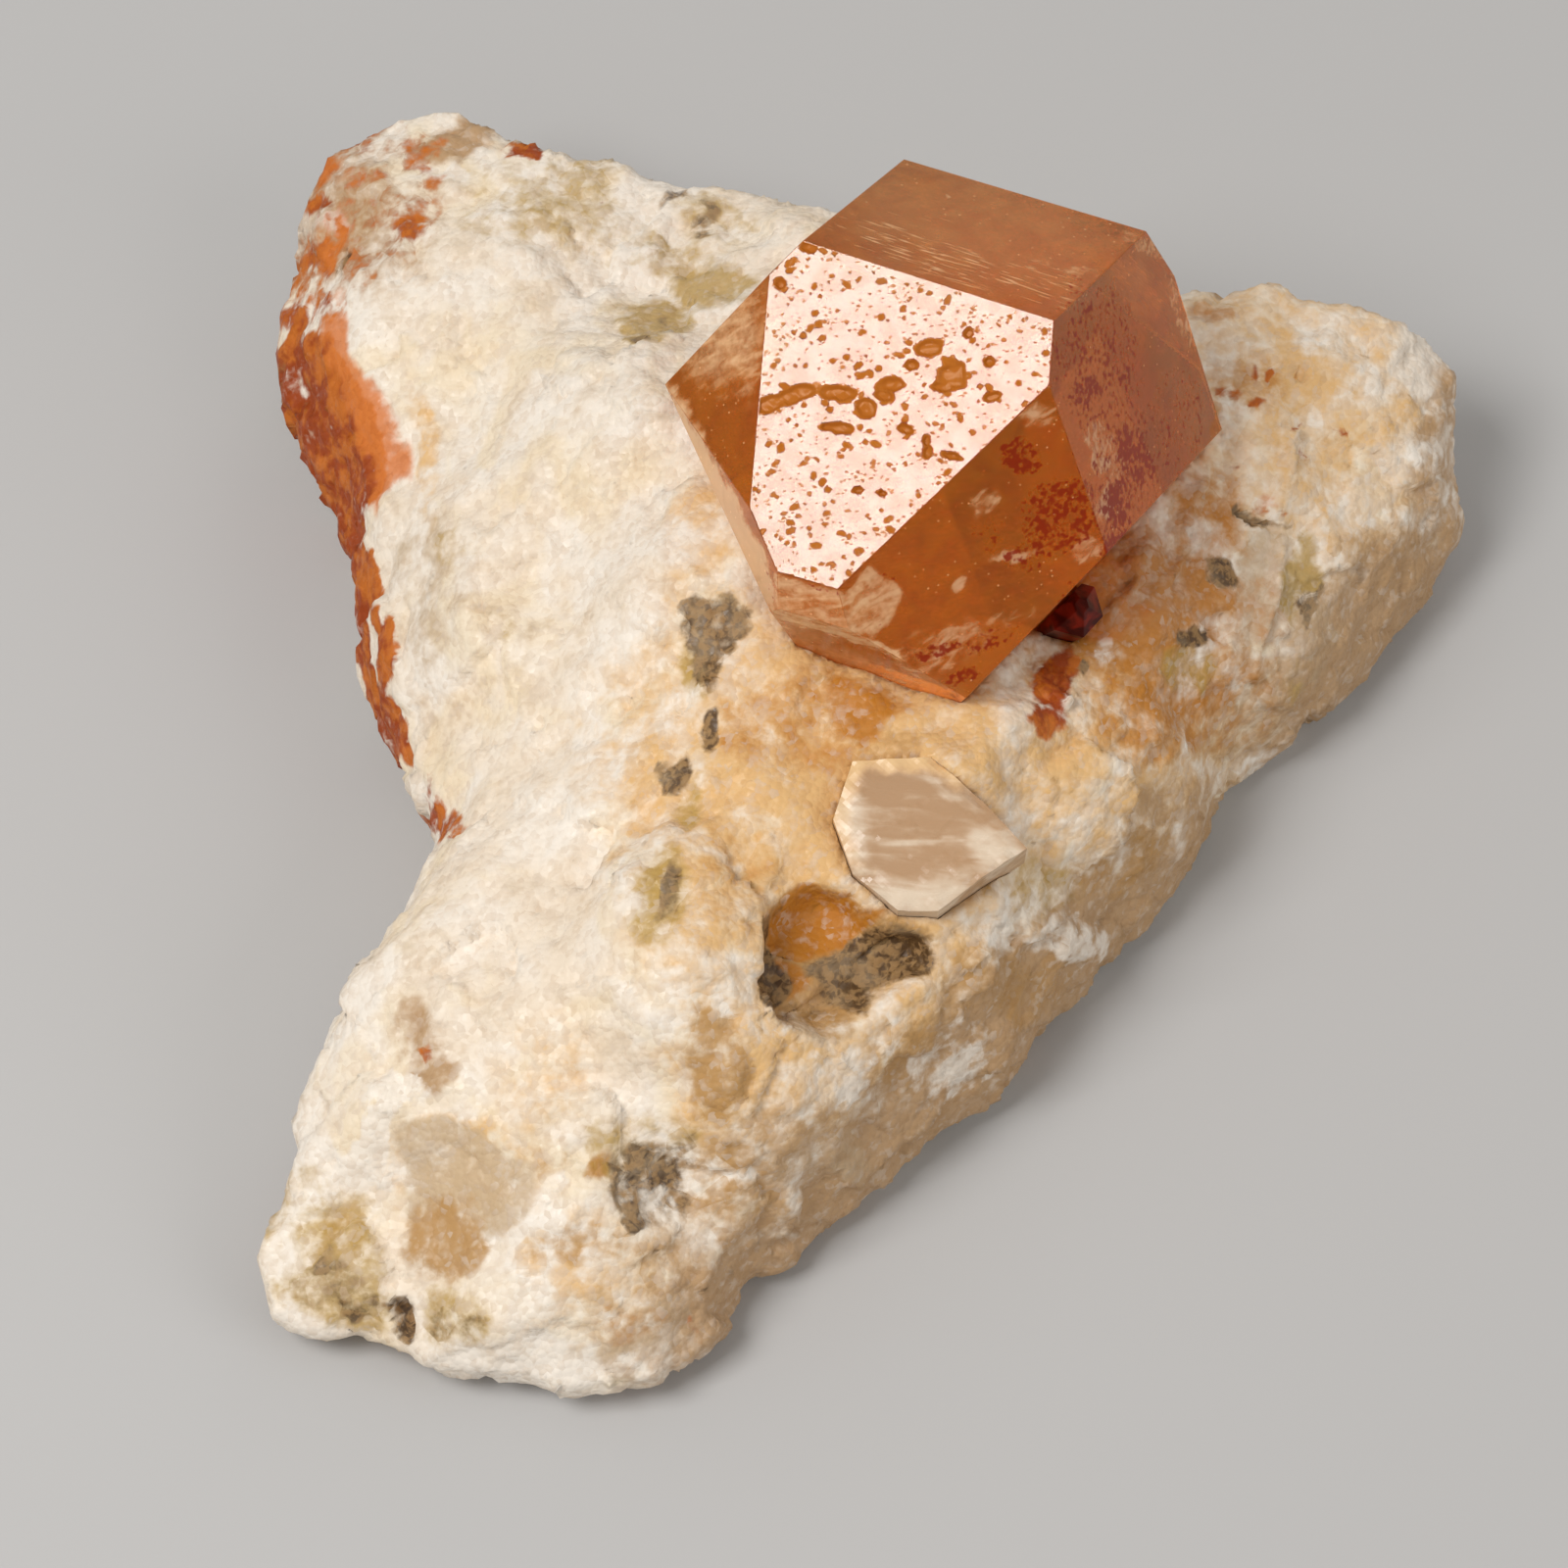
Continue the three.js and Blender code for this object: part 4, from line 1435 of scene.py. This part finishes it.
@dataclass(frozen=True)
class Lamp:
    """A soft light: the way to it, its distance and width in millimetres, and its brightness."""

    name: str
    direction: tuple[float, float, float]
    distance: float
    width: float
    radiance: float
    tint: Colour = (1.0, 1.0, 1.0)

    def build(self, target: Vector) -> bpy.types.Object:
        """Makes the light.

        Args:
            target: The point that it faces, in metres.

        Returns:
            The light's object.
        """
        data = bpy.data.lights.new(self.name, "AREA")
        data.shape = "SQUARE"
        data.size = self.width * MM
        data.energy = self.radiance * math.pi * data.size ** 2
        data.color = self.tint
        lamp = bpy.data.objects.new(self.name, data)
        way = Vector(self.direction).normalized()
        lamp.location = target + way * self.distance * MM
        lamp.rotation_mode = "QUATERNION"
        lamp.rotation_quaternion = way.to_track_quat("Z", "Y")
        bpy.context.scene.collection.objects.link(lamp)
        return lamp


@dataclass
class Studio:
    """The pale floor and the soft lights."""

    floor_half: float = 900.0
    world_strength: float = 0.38
    lamps = (
        Lamp("softbox", (-0.482, -0.262, 0.837), 620.0, 270.0, 11.5),
        Lamp("fill", (0.75, -0.45, 0.55), 700.0, 420.0, 1.7),
        Lamp("rim", (0.35, 0.85, 0.45), 700.0, 300.0, 1.2),
    )

    def build(self) -> None:
        """Makes the floor, the lights and the even light all round."""
        shape = bmesh.new()
        bmesh.ops.create_grid(shape, x_segments=2, y_segments=2, size=self.floor_half * MM)
        mesh = bpy.data.meshes.new("studio_floor")
        shape.to_mesh(mesh)
        shape.free()
        mesh.materials.append(FloorFinish().material())
        floor = bpy.data.objects.new("studio_floor", mesh)
        bpy.context.scene.collection.objects.link(floor)
        low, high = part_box("quartz_crystal")
        for lamp in self.lamps:
            lamp.build((low + high) / 2)
        world = bpy.data.worlds.new("studio")
        world.use_nodes = True
        world.node_tree.nodes["Background"].inputs["Strength"].default_value = self.world_strength
        world.node_tree.nodes["Background"].inputs["Color"].default_value = (1.0, 0.98, 0.95, 1.0)
        bpy.context.scene.world = world
        scene = bpy.context.scene
        scene.view_settings.view_transform = "Standard"
        scene.cycles.diffuse_bounces = 2
        scene.cycles.glossy_bounces = 3
        scene.cycles.transmission_bounces = 8


def main() -> None:
    """Builds the specimen and its studio."""
    logging.basicConfig(level=logging.INFO, format="%(message)s")
    noise.seed_set(NOISE_SEED)
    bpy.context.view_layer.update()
    VIEW.place_camera()
    for piece in (MatrixRock(), QuartzCrystal(), RedCrystal(), ClearGrain()):
        made = piece.build()
        LOG.info("built %s", made.name)
    Studio().build()


if __name__ == "__main__":
    main()
